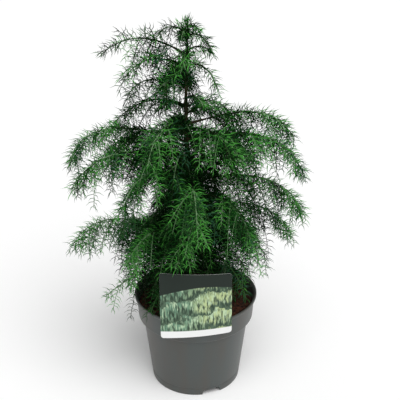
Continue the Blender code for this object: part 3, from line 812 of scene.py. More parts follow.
def make_print():
    """The card's printed face, drawn over its flat coordinates."""
    material = plain_surface("printed card", CHARCOAL[:3], roughness=0.4, specular=0.2)
    tree = material.node_tree
    flat = add_node(tree, "UVMap")
    flat.uv_map = "flat"
    sheet = flat.outputs["UV"]
    split = add_node(tree, "SeparateXYZ", Vector=sheet)
    across = split.outputs["X"]
    up = split.outputs["Y"]

    drift = add_node(tree, "TexNoise", Vector=sheet, Scale=DRIFT_SCALE, Detail=DRIFT_DETAIL).outputs["Fac"]
    narrow = maths(tree, "VectorMath", "MULTIPLY", sheet, STROKE_COUNTS)
    strokes = add_node(tree, "TexNoise", Vector=narrow, Scale=1.0, Detail=STROKE_DETAIL)
    stroke = strokes.outputs["Fac"]
    level = added(tree, added(tree, up, across, TIER_SLOPE), drift, TIER_DRIFT)
    level = added(tree, level, stroke, TIER_RAGGEDNESS)
    tier = maths(tree, "Math", "FRACT", maths(tree, "Math", "MULTIPLY", level, TIER_COUNT))
    hanging = steps_up(tree, added(tree, tier, stroke, STROKE_HANG), *LIT_EDGE)
    lit = maths(tree, "Math", "MULTIPLY", hanging, steps_up(tree, stroke, *STROKE_EDGE))

    warmth = steps_up(tree, added(tree, across, drift, WARM_DRIFT), *WARM_EDGE)
    stroke_colour = blend_colours(tree, warmth, PRINT_COOL, PRINT_WARM)
    channels = add_node(tree, "SeparateColor", Color=strokes.outputs["Color"])
    glints = steps_up(tree, channels.outputs["Green"], *GLINT_EDGE)
    stroke_colour = blend_colours(tree, glints, stroke_colour, PRINT_GLINT)
    ground = blend_colours(tree, steps_up(tree, stroke, *GROUND_EDGE), PRINT_SHADE, PRINT_GROUND)
    picture = blend_colours(tree, lit, ground, stroke_colour)

    arch = maths(tree, "Math", "SINE", maths(tree, "Math", "MULTIPLY", across, BAND_TURN))
    border = added(tree, BAND_FOOT, arch, BAND_BOW)
    banded = blend_colours(tree, steps_up(tree, up, border, BAND_SOFTNESS), picture, CHARCOAL)
    printed = blend_colours(tree, steps_up(tree, up, STRIP_TOP, BAND_SOFTNESS), STRIP_WHITE, banded)
    gloss = place_group(material, RELIEF, Scale=60.0, Strength=0.15, Distance=0.0002)
    shader = tree.nodes["Principled BSDF"]
    feed(tree, shader.inputs["Base Color"], printed)
    feed(tree, shader.inputs["Normal"], gloss.outputs["Normal"])
    return material


printed_card = make_print()
card_back = surface(
    "card back", (0.62, 0.63, 0.61), (0.55, 0.56, 0.54), roughness=0.4, specular=0.5,
    mottle={"Scale": 40.0}, relief={"Scale": 300.0, "Strength": 0.15},
)
card = add_piece("hanging_card", make_card(), [printed_card, card_back], ["picture_card"])
thicken(card, CARD_THICKNESS)
card.modifiers["sheet"].material_offset = 1
card.modifiers["sheet"].material_offset_rim = 1
tongue = add_piece("card_tongue", make_tongue(), [card_back])
thicken(tongue, HOOK_THICKNESS)
print("card:", len(card.data.polygons), "faces, tongue:", len(tongue.data.polygons), "faces")

# %% [markdown]
# ## How the tree branches
#
# A cedar grows one upright leader, and boughs leave it all round. Each rises, arches outwards
# and droops at its tip. The tables give every branch its height on the trunk, its direction
# (0 is right, 90 is behind, 270 is the front), its reach, the height of its tip and its slopes
# at both ends, in centimetres and degrees. The twigs are thinner and carry shoots all the way
# from the trunk. A growth simulation could invent a tree, but with the driving sizes that the
# plain solids have, the dressed tree fits over them.

# %% Branch tables
CLEARANCE = 0.3 * MM
TRUNK_X = -14 * MM
TRUNK_TIP = 62.5 * CM
TRUNK_LEAN = 3 * MM
TRUNK_SWAY = 1.5 * MM
TRUNK_SWAY_TURN = 2.5 * math.pi
TRUNK_ROOT_RADIUS = 7.5 * MM
TRUNK_TIP_RADIUS = 1.7 * MM
TRUNK_TAPER = 0.8
ROOT_FLARE = 1.7
ROOT_FLARE_HEIGHT = 12 * MM
BOUGH_ROOT_RADIUS = 2.6 * MM
BOUGH_TIP_RADIUS = 1.6 * MM
BOUGH_SHARE = 0.16
ARCH = 0.42
LINE_STEPS = 24
LEADER_TIP = 67.0 * CM
BOUGHS = {
    "top_left": (61.2, 180, 14.0, 61.2, 35, -42),
    "wide_left": (46.5, 182, 20.0, 42.7, 22, -78),
    "drooping_left": (44.0, 203, 20.2, 40.8, 15, -60),
    "low_left": (28.5, 184, 20.6, 27.4, 30, -62),
    "skirt_left": (22.0, 191, 15.3, 17.6, 12, -40),
    "wide_right": (49.6, 8, 18.5, 46.6, 14, -60),
    "outer_right": (46.8, 345, 20.0, 42.8, 18, -70),
    "mid_right": (39.0, 353, 20.0, 34.6, 20, -65),
    "low_right": (33.0, 12, 19.3, 27.5, 20, -60),
    "skirt_right": (27.5, 347, 14.4, 26.2, 18, -60),
    "front_right_upper": (49.0, 303, 14.0, 46.4, 15, -70),
    "front_left_mid": (42.0, 235, 17.0, 39.8, 15, -65),
    "front_centre": (40.0, 277, 16.0, 37.2, 20, -70),
    "front_right_mid": (37.0, 307, 17.0, 34.6, 20, -70),
    "front_left_low": (31.0, 226, 14.4, 28.2, 18, -60),
    "back_left_mid": (43.0, 146, 18.0, 40.5, 20, -60),
    "back_mid": (46.0, 98, 16.5, 43.5, 20, -60),
    "back_right_mid": (41.0, 48, 18.0, 38.0, 20, -60),
    "back_left_low": (29.0, 155, 14.5, 25.8, 20, -65),
    "back_right_low": (26.5, 42, 17.0, 23.5, 18, -60),
}
TWIGS = {
    "top_front": (61.0, 265, 5.5, 60.6, 35, -60),
    "upper_left": (59.2, 200, 10.4, 58.2, 35, -58),
    "high_left": (56.0, 174, 10.0, 53.8, 25, -66),
    "shoulder_left": (52.5, 168, 12.8, 48.9, 25, -45),
    "top_right": (62.0, 350, 3.8, 61.4, 45, -80),
    "high_right": (59.5, 5, 4.9, 55.4, 20, -78),
    "front_top": (58.0, 245, 8.4, 56.0, 28, -76),
    "back_top_left": (57.0, 105, 10.5, 55.0, 25, -60),
    "back_top_right": (52.5, 32, 9.0, 49.4, 22, -64),
    "front_left_upper": (50.0, 247, 14.0, 46.8, 15, -70),
    "inner_front": (45.0, 258, 9.5, 42.4, 25, -60),
    "front_low": (33.0, 265, 14.0, 29.3, 20, -65),
    "back_low": (34.0, 98, 17.0, 31.0, 20, -60),
    "front_right_low": (26.0, 324, 12.6, 20.4, 20, -75),
    "front_sprig": (21.0, 238, 11.5, 18.6, 20, -60),
}
BRANCHES = {**BOUGHS, **TWIGS}
print("boughs:", len(BOUGHS), "and twigs:", len(TWIGS))


# %% Lines of the trunk and branches
def trunk_point(height):
    """Middle of the trunk at a height: its foot is upright, and it leans and sways above."""
    share = (height - SOIL_LEVEL) / (TRUNK_TIP - SOIL_LEVEL)
    sway = TRUNK_SWAY * math.sin(TRUNK_SWAY_TURN * share ** 2)
    return Vector((TRUNK_X + sway, TRUNK_LEAN * share ** 2, height))


def trunk_radius(height):
    """Radius of the trunk at a height, with the flare of its roots."""
    height = max(height, SOIL_LEVEL)
    share = (height - SOIL_LEVEL) / (TRUNK_TIP - SOIL_LEVEL)
    taper = part_way(TRUNK_ROOT_RADIUS, TRUNK_TIP_RADIUS, share ** TRUNK_TAPER)
    flare = 1 + (ROOT_FLARE - 1) * math.exp(-(height - SOIL_LEVEL) / ROOT_FLARE_HEIGHT)
    return taper * flare


def sloping(outward, degrees):
    """A direction that rises from a level one by some degrees."""
    slope = math.radians(degrees)
    return outward * math.cos(slope) + UP * math.sin(slope)


def branch_curve(sizes):
    """Points along a branch: it leaves the trunk at one slope and ends at another."""
    height, azimuth, reach, tip, rise, fall = sizes
    foot = trunk_point(height * CM)
    outward = level_way(math.radians(azimuth))
    start_way = sloping(outward, rise)
    end_way = sloping(outward, fall)
    start = foot + outward * (trunk_radius(height * CM) + CLEARANCE)
    end = foot + outward * (reach * CM)
    end.z = tip * CM
    pull = ARCH * (end - start).length
    first = start + start_way * pull
    second = end - end_way * pull
    points = []
    for t in shares(LINE_STEPS):
        a = start.lerp(first, t)
        b = first.lerp(second, t)
        c = second.lerp(end, t)
        points.append(a.lerp(b, t).lerp(b.lerp(c, t), t))
    return points


def along(points, distance):
    """The point and heading at a distance along a line of points."""
    for first, second in zip(points, points[1:]):
        step = (second - first).length
        if distance <= step:
            return first.lerp(second, distance / step), (second - first).normalized()
        distance -= step
    return points[-1].copy(), (points[-1] - points[-2]).normalized()


def line_length(points):
    """Length of a line of points."""
    return sum((second - first).length for first, second in zip(points, points[1:]))


def stretch(points, start, end, steps):
    """Evenly spaced points between two distances along a line."""
    return [along(points, part_way(start, end, share))[0] for share in shares(steps)]


branch_lines = {name: branch_curve(sizes) for name, sizes in BRANCHES.items()}
together = sum(line_length(line) for line in branch_lines.values())
print("branches:", len(branch_lines), "and together", round(together, 2), "m")

# %% [markdown]
# ## Bark
#
# The bark of a young cedar is thin and red-brown, and it splits into narrow upright strips.
# The trunk and boughs are tubes along their lines, with a ring of many corners every millimetre
# or two. A noise that is stretched along the limb pushes the corners in and out, so the strips
# are real relief, and the material only adds the finest fibres.

# %% Tubes with relief
TRUNK_SIDES = 28
TRUNK_RING_STEP = 2 * MM
BOUGH_SIDES = 14
BOUGH_RING_STEP = 1.5 * MM
STRIP_WIDTH = 1.6 * MM
STRIP_LENGTH = 14 * MM
STRIP_DEPTH = 0.11
STRIP_LEVEL = 0.4
LIMB_OFFSET = 10
STEEP_SHARE = 0.1
KNOT_REACH = 7 * MM
KNOT_SWELL = 0.35


def cross_ways(points, headings, length):
    """Two directions across a line of points for each of its headings, as arrays."""
    level = np.cross(points[-1] - points[0], (0, 0, 1))
    size = np.linalg.norm(level)
    level = level / size if size > STEEP_SHARE * length else np.array((1.0, 0, 0))
    side = level - headings * (headings @ level)[:, None]
    side /= np.linalg.norm(side, axis=1, keepdims=True)
    return side, np.cross(headings, side)


def tube(points, radii, sides):
    """Corners and triangles of a tube along a line, closed by a point at both ends."""
    points = np.asarray(points, float)
    radii = np.broadcast_to(np.asarray(radii, float).T, (sides, len(points))).T
    headings = np.gradient(points, axis=0)
    headings /= np.linalg.norm(headings, axis=1, keepdims=True)
    side, over = cross_ways(points, headings, np.linalg.norm(points[-1] - points[0]))
    turns = np.arange(sides) * 2 * math.pi / sides
    spokes = side[:, None] * np.cos(turns)[:, None] + over[:, None] * np.sin(turns)[:, None]
    rings = points[:, None] + radii[:, :, None] * spokes
    corners = np.concatenate([rings.reshape(-1, 3), points[:1], points[-1:]])
    return corners, ring_triangles(len(points), sides)


def bark_radius(base, turn, distance, number):
    """Radius of a barked limb at a turn round it and a distance along it."""
    around = level_way(turn) * (base / STRIP_WIDTH)
    ridge = noise.noise(around + Vector((0, 0, distance / STRIP_LENGTH + LIMB_OFFSET * number)))
    return base * (1 + STRIP_DEPTH * (2 * abs(ridge) - STRIP_LEVEL))


def barked_limb(name, points, radii, sides, number, node):
    """A limb with bark relief, in place of its plain solid."""
    rows = []
    distance = 0.0
    for index, (point, radius) in enumerate(zip(points, radii)):
        if index:
            distance += (point - points[index - 1]).length
        turns = [2 * math.pi * side / sides for side in range(sides)]
        rows.append([bark_radius(radius, turn, distance, number) for turn in turns])
    corners, triangles = tube(points, rows, sides)
    mesh = mesh_from_arrays(name, corners, triangles)
    return add_piece(name, mesh, [bark], [node])


print("bark strips:", round(STRIP_WIDTH / MM, 1), "by", round(STRIP_LENGTH / MM), "mm")

# %% [markdown]
# Where a bough leaves, the trunk swells into a small knot, and the bough starts thick inside
# that swelling and thins quickly. A Boolean could join the limbs, but it leaves a hard seam, so
# both are worked out from the distance to the branching, and the limbs just overlap.

# %% Make the trunk and boughs
ROOTED_DEPTH = 2 * MM
ROOT_SWELL_REACH = 3 * MM
FEWEST_RINGS = 4
bark = surface(
    "cedar bark", (0.020, 0.015, 0.008), (0.062, 0.044, 0.025), roughness=0.8, specular=0.15,
    mottle={"Scale": 260.0, "Stretch": (1, 1, 0.16), "Low": 0.35, "High": 0.62},
    relief={"Scale": 900.0, "Stretch": (1, 1, 0.12), "Strength": 0.7, "Distance": 0.0004},
)


def knot_swell(height):
    """How much the trunk swells at a height because branches leave it nearby."""
    swell = 0.0
    for sizes in BRANCHES.values():
        gap = (height - sizes[0] * CM) / KNOT_REACH
        swell = max(swell, KNOT_SWELL * math.exp(-gap * gap))
    return 1 + swell * (1 - trunk_radius(height) / (2 * TRUNK_ROOT_RADIUS))


def make_trunk():
    """The trunk from just under the peat's surface to the tip where the leader begins."""
    foot = SOIL_LEVEL - CLOD_HEIGHT
    steps = round((TRUNK_TIP - foot) / TRUNK_RING_STEP)
    heights = [part_way(foot, TRUNK_TIP, share) for share in shares(steps)]
    points = [trunk_point(height) for height in heights]
    radii = [trunk_radius(height) * knot_swell(height) for height in heights]
    return barked_limb("barked_trunk", points, radii, TRUNK_SIDES, 0, "trunk")


def make_bough(name, number):
    """The bare inner stretch of a branch, rooted in the trunk's knot."""
    line = branch_lines[name]
    length = BOUGH_SHARE * line_length(line)
    steps = max(FEWEST_RINGS, round(length / BOUGH_RING_STEP))
    points = stretch(line, 0, length, steps)
    inside = points[0] - (points[1] - points[0]).normalized() * ROOTED_DEPTH
    radii = []
    for share in shares(steps):
        root = 1 + KNOT_SWELL * math.exp(-(share * length / ROOT_SWELL_REACH) ** 2)
        radii.append(part_way(BOUGH_ROOT_RADIUS, BOUGH_TIP_RADIUS, share) * root)
    points.insert(0, inside)
    radii.insert(0, radii[0])
    return barked_limb(f"barked_{name}", points, radii, BOUGH_SIDES, number, f"bough_{name}")


trunk = make_trunk()
boughs = [make_bough(name, number + 1) for number, name in enumerate(BOUGHS)]
print("trunk:", len(trunk.data.polygons), "faces, boughs:", len(boughs))

# %% [markdown]
# ## Shoots
#
# A branch carries side shoots left and right in turn, the longest near its foot, and they hang
# lower the older the branch is. One seeded rule gives the shoots of the plain masses. The same
# rule, with more draws, adds finer shoots between them, which wander more and hang lower, and
# short twiglets on the longest ones. A particle system would need less code, but it could not
# follow the rule. Some branches are open against the sky and others dense, so the fine shoots
# for each plain one are counted by branch, and some branches thin out more towards their tips.
# Every draw comes from a generator with its own fixed seed, so the tree is the same each time.

# %% The shoot rule
SHOOT_SPACING = 21 * MM
FIRST_SHOOT = 0.4
SHOOT_LENGTH = 66 * MM
LENGTH_RANGE = (0.85, 1.15)
SHOOT_SHARE = 0.55
SHOOT_TAPER = 0.85
SHOOT_SPREAD = 46
SPREAD_RANGE = (-8, 8)
SHOOT_ROLL = (-75, 5)
SHOOT_DROOP = 0.9
DROOP_RANGE = (0.6, 1.4)
YOUNG_LIFT = 50
YOUNG_STIFFNESS = 0.5
FINE_PER_SHOOT = 4
FULLNESS = {
    "top_left": 1, "upper_left": 2, "high_left": 1, "shoulder_left": 2, "leader": 3,
    "top_right": 1, "high_right": 1, "back_top_right": 3, "wide_left": 5, "drooping_left": 5,
    "low_left": 4, "skirt_left": 0, "skirt_right": 1, "front_right_low": 0, "front_sprig": 0,
    "mid_right": 6, "front_low": 5, "low_right": 4, "front_left_low": 4, "wide_right": 5,
    "outer_right": 6,
}
SHORT_ENDED = (
    "top_left", "wide_left", "drooping_left", "low_left", "shoulder_left", "front_left_low",
    "wide_right", "outer_right", "mid_right", "low_right",
)
FEWEST_SHOOTS = 3
FINE_PLACES = (0.2, 0.9)
FINE_LENGTHS = (0.45, 1.15)
WANDER = 0.45
FINE_DROOP = 1.35
FINE_TAPERS = (0.75, 1.0)
TWIGLET_SPACING = 62 * MM
TWIGLET_LENGTH = 34 * MM
TWIGLET_SHARE = 0.5
TWIGLET_PLACE = 0.7
TWIGLET_END = 0.4
TWIGLET_SEED = 9000


def shoot_leaving(rng, foot, heading, index, share, longest):
    """How one side shoot leaves its stem: its foot, direction, length and droop."""
    side = heading.cross(UP)
    side = side.normalized() if side.length > STEEP_SHARE else Vector((1, 0, 0))
    over = side.cross(heading)
    hand = 1 if index % 2 else -1
    youth = ((foot.z - SOIL_LEVEL) / (TRUNK_TIP - SOIL_LEVEL)) ** 2
    roll = math.radians(rng.uniform(*SHOOT_ROLL) + YOUNG_LIFT * youth)
    spread = math.radians(SHOOT_SPREAD + rng.uniform(*SPREAD_RANGE))
    across = side * hand * math.cos(roll) + over * math.sin(roll)
    way = heading * math.cos(spread) + across * math.sin(spread)
    size = longest * (1 - SHOOT_TAPER * share) * rng.uniform(*LENGTH_RANGE)
    droop = SHOOT_DROOP * (1 - YOUNG_STIFFNESS * youth) * rng.uniform(*DROOP_RANGE)
    return foot, way, size, droop


def side_shoots(number, stem, fullness, taper):
    """The shoots of the plain masses, then the finer ones between them."""
    length = line_length(stem)
    count = max(FEWEST_SHOOTS, round(length / SHOOT_SPACING))
    longest = min(SHOOT_LENGTH, SHOOT_SHARE * length)
    shoots = []
    rng = random.Random(SEED + number)
    for index in range(count):
        share = (index + FIRST_SHOOT) / count
        foot, heading = along(stem, share * length)
        shoots.append(shoot_leaving(rng, foot, heading, index, share, longest))
    rng = random.Random(SEED + TWIGLET_SEED + number)
    fine = count * fullness
    for index in range(fine):
        share = (index + rng.uniform(*FINE_PLACES)) / fine
        foot, heading = along(stem, share * length)
        size = longest * rng.uniform(*FINE_LENGTHS)
        drift = Vector([rng.uniform(-WANDER, WANDER) for axis in range(3)])
        turned = (heading + drift).normalized()
        foot, way, size, droop = shoot_leaving(rng, foot, turned, index, taper * share, size)
        shoots.append((foot, way, size, droop * FINE_DROOP))
    return shoots


def shoot_place(shoot, t):
    """Point and heading at a share of a shoot that bends down under its own weight."""
    foot, way, size, droop = shoot
    point = foot + way * (size * t) - UP * (size * droop * t * t)
    heading = (way - UP * (2 * droop * t)).normalized()
    return point, heading


def twiglets(rng, shoot):
    """Short twigs on a shoot, by the same rule one size down."""
    size = shoot[2]
    count = int(size / TWIGLET_SPACING)
    longest = min(TWIGLET_LENGTH, TWIGLET_SHARE * size)
    small = []
    for index in range(count):
        share = (index + TWIGLET_PLACE) / (count + TWIGLET_END)
        foot, heading = shoot_place(shoot, share)
        small.append(shoot_leaving(rng, foot, heading, index, share, longest))
    return small


print("fine shoots for each plain one:", min(FULLNESS.values()), "to", max(FULLNESS.values()))

# %% [markdown]
# A shoot must not grow through the pot, the card or the peat, nor hang before the card's
# picture, which is seen from above, so the zone to keep clear slopes upwards in front of it. A
# ray cast against their meshes could test that, but they are simple shapes, and a few
# comparisons tell it sooner. A shoot that comes too near is made shorter until it fits, and left
# out if it never does.

# %% Keep shoots out of the pot and card
SHORTER = (1.0, 0.75, 0.5, 0.3)
TESTED_SHARES = (0.35, 0.7, 1.0)
KEEP_OFF = 3 * MM
WALL_ZONE = (BODY_TOP_RADIUS - KEEP_OFF, RIM_RADIUS + KEEP_OFF)
CARD_BACK_REACH = 4 * KEEP_OFF
CARD_VIEW_GAP = 2 * KEEP_OFF
CARD_VIEW_SLOPE = 0.56
CARD_VIEW_LEFT = CARD_CENTRE_X - 48 * MM


def is_blocked(point):
    """Whether a point is too near the pot's wall, the peat or the card, or hides its picture."""
    radius = math.hypot(point.x, point.y)
    if point.z < POT_HEIGHT + KEEP_OFF and WALL_ZONE[0] < radius < WALL_ZONE[1]:
        return True
    if radius <= WALL_ZONE[0] and point.z < SOIL_LEVEL + KEEP_OFF:
        return True
    ahead = -CARD_FRONT - point.y
    if abs(point.x - CARD_CENTRE_X) > CARD_WIDTH / 2 + KEEP_OFF or ahead < -CARD_BACK_REACH:
        return False
    above_card = KEEP_OFF
    if point.x > CARD_VIEW_LEFT:
        above_card = CARD_VIEW_GAP + max(0.0, ahead) * CARD_VIEW_SLOPE
    return point.z < CARD_BOTTOM + CARD_HEIGHT + above_card


def fitted(shoot):
    """The shoot, shortened until it is clear of the pot and card, or None."""
    foot, way, size, droop = shoot
    for share in SHORTER:
        shorter = (foot, way, size * share, droop)
        if not any(is_blocked(shoot_place(shorter, t)[0]) for t in TESTED_SHARES):
            return shorter
    return None


print("kept clear round the pot and card:", round(KEEP_OFF / MM), "mm")

# %% [markdown]
# ## Needles
#
# The young needles of this cedar are soft, slender and a little curved, and stand round the
# shoot in five ranks. Instances would be the usual way to place so many, but here they are
# joined into real meshes. Each needle is a slim blade with three sides: a narrow foot, a wider
# middle where it bends forward, and a point, which takes seven corners and ten triangles. They
# are up to about two centimetres long, and wider than the real ones, so that fewer of them fill
# a spray. All the needles of a region are worked out together with array arithmetic, which
# takes a moment instead of minutes.

# %% Needle sizes and arrays
RANK_TURN = math.radians(144)
RANK_JITTER = 0.25
FIRST_TURNS = (0, 6.28)
NEEDLE_PLACES = (0.2, 0.8)
FEWEST_NEEDLES = 3
NEEDLE_SPACING = 2.5 * MM
STEM_NEEDLE = 20 * MM
SHOOT_NEEDLE = 20 * MM
TWIGLET_NEEDLE = 14.5 * MM
NEEDLE_LENGTH_RANGE = (0.8, 1.15)
NEEDLE_WIDTH = 1.15 * MM
NEEDLE_ANGLES = (38, 82)
ANGLE_JITTER = 9
NEEDLE_CURL = 33
TIP_STRETCH = 12 * MM
YOUNG_NEEDLE = 0.6
WIDEST_SHARE = 0.45
FOOT_WIDTH_SHARE = 0.7
NEEDLE_DEPTH = 0.8
NEEDLE_FACES = np.array([
    (0, 2, 1), (0, 1, 4), (0, 4, 3), (1, 2, 5), (1, 5, 4), (2, 0, 3), (2, 3, 5),
    (3, 4, 6), (4, 5, 6), (5, 3, 6),
])


def spaced(points, distances):
    """Points at distances along a line given as an array."""
    steps = np.linalg.norm(np.diff(points, axis=0), axis=1)
    ends = np.concatenate([[0], np.cumsum(steps)])
    return np.stack([np.interp(distances, ends, points[:, axis]) for axis in range(3)], 1)


def needle_rows(points, green, rng, spacing, length):
    """The needles of one twig, one row each: foot, heading, outward, length, angle and green."""
    total = np.linalg.norm(np.diff(points, axis=0), axis=1).sum()
    count = max(FEWEST_NEEDLES, int(total / spacing))
    distances = (np.arange(count) + rng.uniform(*NEEDLE_PLACES, count)) * total / count
    feet = spaced(points, distances)
    headings = spaced(points, np.minimum(distances + MM, total))
    headings -= spaced(points, np.maximum(distances - MM, 0))
    headings /= np.linalg.norm(headings, axis=1, keepdims=True)
    side, over = cross_ways(points, headings, total)
    turns = np.arange(count) * RANK_TURN + rng.uniform(*FIRST_TURNS)
    turns += rng.uniform(-RANK_JITTER, RANK_JITTER, count)
    outward = side * np.cos(turns)[:, None] + over * np.sin(turns)[:, None]
    to_tip = np.clip((total - distances) / TIP_STRETCH, 0, 1)
    lengths = length * rng.uniform(*NEEDLE_LENGTH_RANGE, count)
    lengths *= part_way(YOUNG_NEEDLE, 1, to_tip)
    angles = np.radians(part_way(*NEEDLE_ANGLES, to_tip))
    angles += np.radians(rng.uniform(-ANGLE_JITTER, ANGLE_JITTER, count))
    return np.column_stack([feet, headings, outward, lengths, angles, np.full(count, green)])


def needle_mesh(name, rows):
    """One mesh of curved three-sided needles from rows that needle_rows made."""
    feet, headings, outward, lengths, angles, greens = np.split(rows, (3, 6, 9, 10, 11), axis=1)
    late = angles - math.radians(NEEDLE_CURL)
    first_way = outward * np.sin(angles) + headings * np.cos(angles)
    last_way = outward * np.sin(late) + headings * np.cos(late)
    flat = np.cross(headings, outward) * NEEDLE_WIDTH / 2
    thick = np.cross(first_way, flat) * NEEDLE_DEPTH
    widest = feet + first_way * lengths * WIDEST_SHARE
    tips = widest + last_way * lengths * (1 - WIDEST_SHARE)
    corners = []
    for middle, size in ((feet, FOOT_WIDTH_SHARE), (widest, 1)):
        corners += [middle + size * (flat - thick), middle - size * (flat + thick), middle + size * thick]
    corners.append(tips)
    starts = (np.arange(len(rows)) * len(corners))[:, None, None]
    points = np.stack(corners, 1).reshape(-1, 3)
    triangles = (starts + NEEDLE_FACES).reshape(-1, 3)
    kinds = np.repeat(greens.astype(int), len(NEEDLE_FACES))
    return mesh_from_arrays(name, points, triangles, kinds)


print("a needle has", len(NEEDLE_FACES), "triangles and is", round(NEEDLE_WIDTH / MM, 2), "mm wide")

# %% [markdown]
# ## Grow the masses
#
# Each mass starts where its bough ends, or at the trunk. Its stem, its shoots and their
# twiglets are first only noted down as sprays: a line of points, the radius along it and the
# region of the crown that it belongs to. Drawing each at once would be simpler, but the colour
# of a spray depends on all the others round it, because it holds painted shade from them. Some
# masses also have a tone, which makes their painted light and shade lighter or darker than
# their place alone would.
# region of the crown that it belongs to. Drawing each at once would be simpler, but the colour
# of a spray depends on all the others round it. Some masses also have a tone, which makes them
# lighter or darker than their place alone would.

# %% Note down every spray
SPRAY_FIELDS = "region points radii sides tone length wood spacing"
Spray = namedtuple("Spray", SPRAY_FIELDS, defaults=("young", NEEDLE_SPACING))
STEM_RADIUS = 1.7 * MM
STEM_TIP_RADIUS = 0.6 * MM
FINE_RADIUS = 0.75 * MM
FINE_TIP_RADIUS = 0.4 * MM
TWIGLET_TIP_RADIUS = 0.7 * FINE_TIP_RADIUS
STEM_SIDES = 6
SHOOT_SIDES = 4
TWIGLET_SIDES = 3
OLD_STEM_SHARE = 0.45
TWIG_RING_STEP = 7 * MM
FEWEST_STEPS = 3
SPRAY_SHADES = (-0.55, -0.45, -0.25, 0.2, 0.7)
TOP_REGION_HEIGHT = 50.5
REGION_NAMES = ("right", "back", "left", "front")
# Each tone shifts the painted light and shade of a mass's greens.
TONES = {
    "leader": -0.32, "top_left": -0.32, "top_right": -0.32, "top_front": -0.36,
    "front_top": -0.34, "upper_left": -0.36, "high_left": -0.36, "high_right": -0.32,
    "shoulder_left": -0.3, "front_left_upper": -0.15, "front_right_upper": -0.42,
    "front_left_mid": 0.04, "front_centre": 0.02, "front_right_mid": -0.2, "inner_front": 0.2,
    "front_left_low": 0.08, "front_low": 0.20, "front_sprig": -0.05, "front_right_low": -0.4,
    "skirt_left": -0.05, "skirt_right": -0.45, "low_left": 0.30, "wide_right": -0.04,
    "outer_right": 0.20, "mid_right": 0.55, "low_right": 0.42, "back_low": 0.25,
    "back_left_low": 0.28, "back_right_low": -0.3, "spur": -0.03,
}


def region_of(height, azimuth):
    """The region of the crown that a branch belongs to."""
    if height > TOP_REGION_HEIGHT:
        return "top"
    return REGION_NAMES[round(azimuth / 90) % 4]


def line_array(points):
    """A line of points as an array."""
    return np.array([point[:] for point in points])


def shoot_array(shoot):
    """Points along a shoot as an array, with a ring every few millimetres."""
    steps = max(FEWEST_STEPS, round(shoot[2] / TWIG_RING_STEP))
    return line_array([shoot_place(shoot, share)[0] for share in shares(steps)])


def shoot_spray(region, shoot, tone, sides=SHOOT_SIDES, ends=(FINE_RADIUS, FINE_TIP_RADIUS),
                length=SHOOT_NEEDLE):
    """The spray of one shoot, its wood thinner towards its tip."""
    points = shoot_array(shoot)
    return Spray(region, points, np.linspace(*ends, len(points)), sides, tone, length)


def grow_mass(region, name, number, stem):
    """The sprays of one mass: its stem in two stretches, its shoots and their twiglets."""
    rng = random.Random(SEED + 2 * TWIGLET_SEED + number)
    tone = TONES.get(name, 0.0)
    points = line_array(stem)
    radii = np.linspace(STEM_RADIUS, STEM_TIP_RADIUS, len(points))
    cut = round(OLD_STEM_SHARE * len(points))
    grown = [
        Spray(region, points[:cut + 1], radii[:cut + 1], STEM_SIDES, tone, STEM_NEEDLE, "old"),
        Spray(region, points[cut:], radii[cut:], STEM_SIDES, tone, STEM_NEEDLE),
    ]
    taper = FINE_TAPERS[name in SHORT_ENDED]
    for shoot in side_shoots(number, stem, FULLNESS.get(name, FINE_PER_SHOOT), taper):
        shoot = fitted(shoot)
        if shoot is None:
            continue
        shade = tone + rng.choice(SPRAY_SHADES)
        grown.append(shoot_spray(region, shoot, shade))
        for small in filter(None, map(fitted, twiglets(rng, shoot))):
            ends = (FINE_TIP_RADIUS, TWIGLET_TIP_RADIUS)
            grown.append(shoot_spray(region, small, shade, TWIGLET_SIDES, ends, TWIGLET_NEEDLE))
    return grown


print("tones:", len(TONES), "and shades of a spray:", len(SPRAY_SHADES))

# %% [markdown]
# The inside of the crown is closed by short, shaded spurs all round the trunk, as on the real
# tree, where bare wood hardly shows. The leader gets a few small shoots of its own, and four
# branches get some more where their sprays are thick near the trunk. These stand in short
# tables, because a rule would have to be bent to put them in the right places.

# %% Spurs on the trunk
GOLDEN_TURN = math.radians(137.5)
SPUR_HEIGHTS = (24.0, 56.0)
SPUR_REACHES = (9.5, 4.5)
SPUR_RANGE = (0.7, 1.2)
SPUR_FALL = 0.1
SPUR_SLOPES = (30, -55)
SPUR_SPACING = 0.6
SPARSE_ABOVE = 44.0
SPARSE_SPACING = 1.4
SPUR_NUMBERS = 100
SPUR_SEED = SEED - 1


def grow_spurs():
    """Short, shaded shoots all round the trunk, which close the inside of the crown."""
    rng = random.Random(SPUR_SEED)
    height = SPUR_HEIGHTS[0]
    number = SPUR_NUMBERS
    grown = []
    while height < SPUR_HEIGHTS[1]:
        share = (height - SPUR_HEIGHTS[0]) / (SPUR_HEIGHTS[1] - SPUR_HEIGHTS[0])
        reach = part_way(*SPUR_REACHES, share) * rng.uniform(*SPUR_RANGE)
        azimuth = math.degrees(number * GOLDEN_TURN) % 360
        line = branch_curve((height, azimuth, reach, height - SPUR_FALL * reach, *SPUR_SLOPES))
        grown += grow_mass(region_of(0, azimuth), "spur", number, line)
        number += 1
        height += SPUR_SPACING if height < SPARSE_ABOVE else SPARSE_SPACING
    return grown


spurs = grow_spurs()
print("sprays of the spurs:", len(spurs))

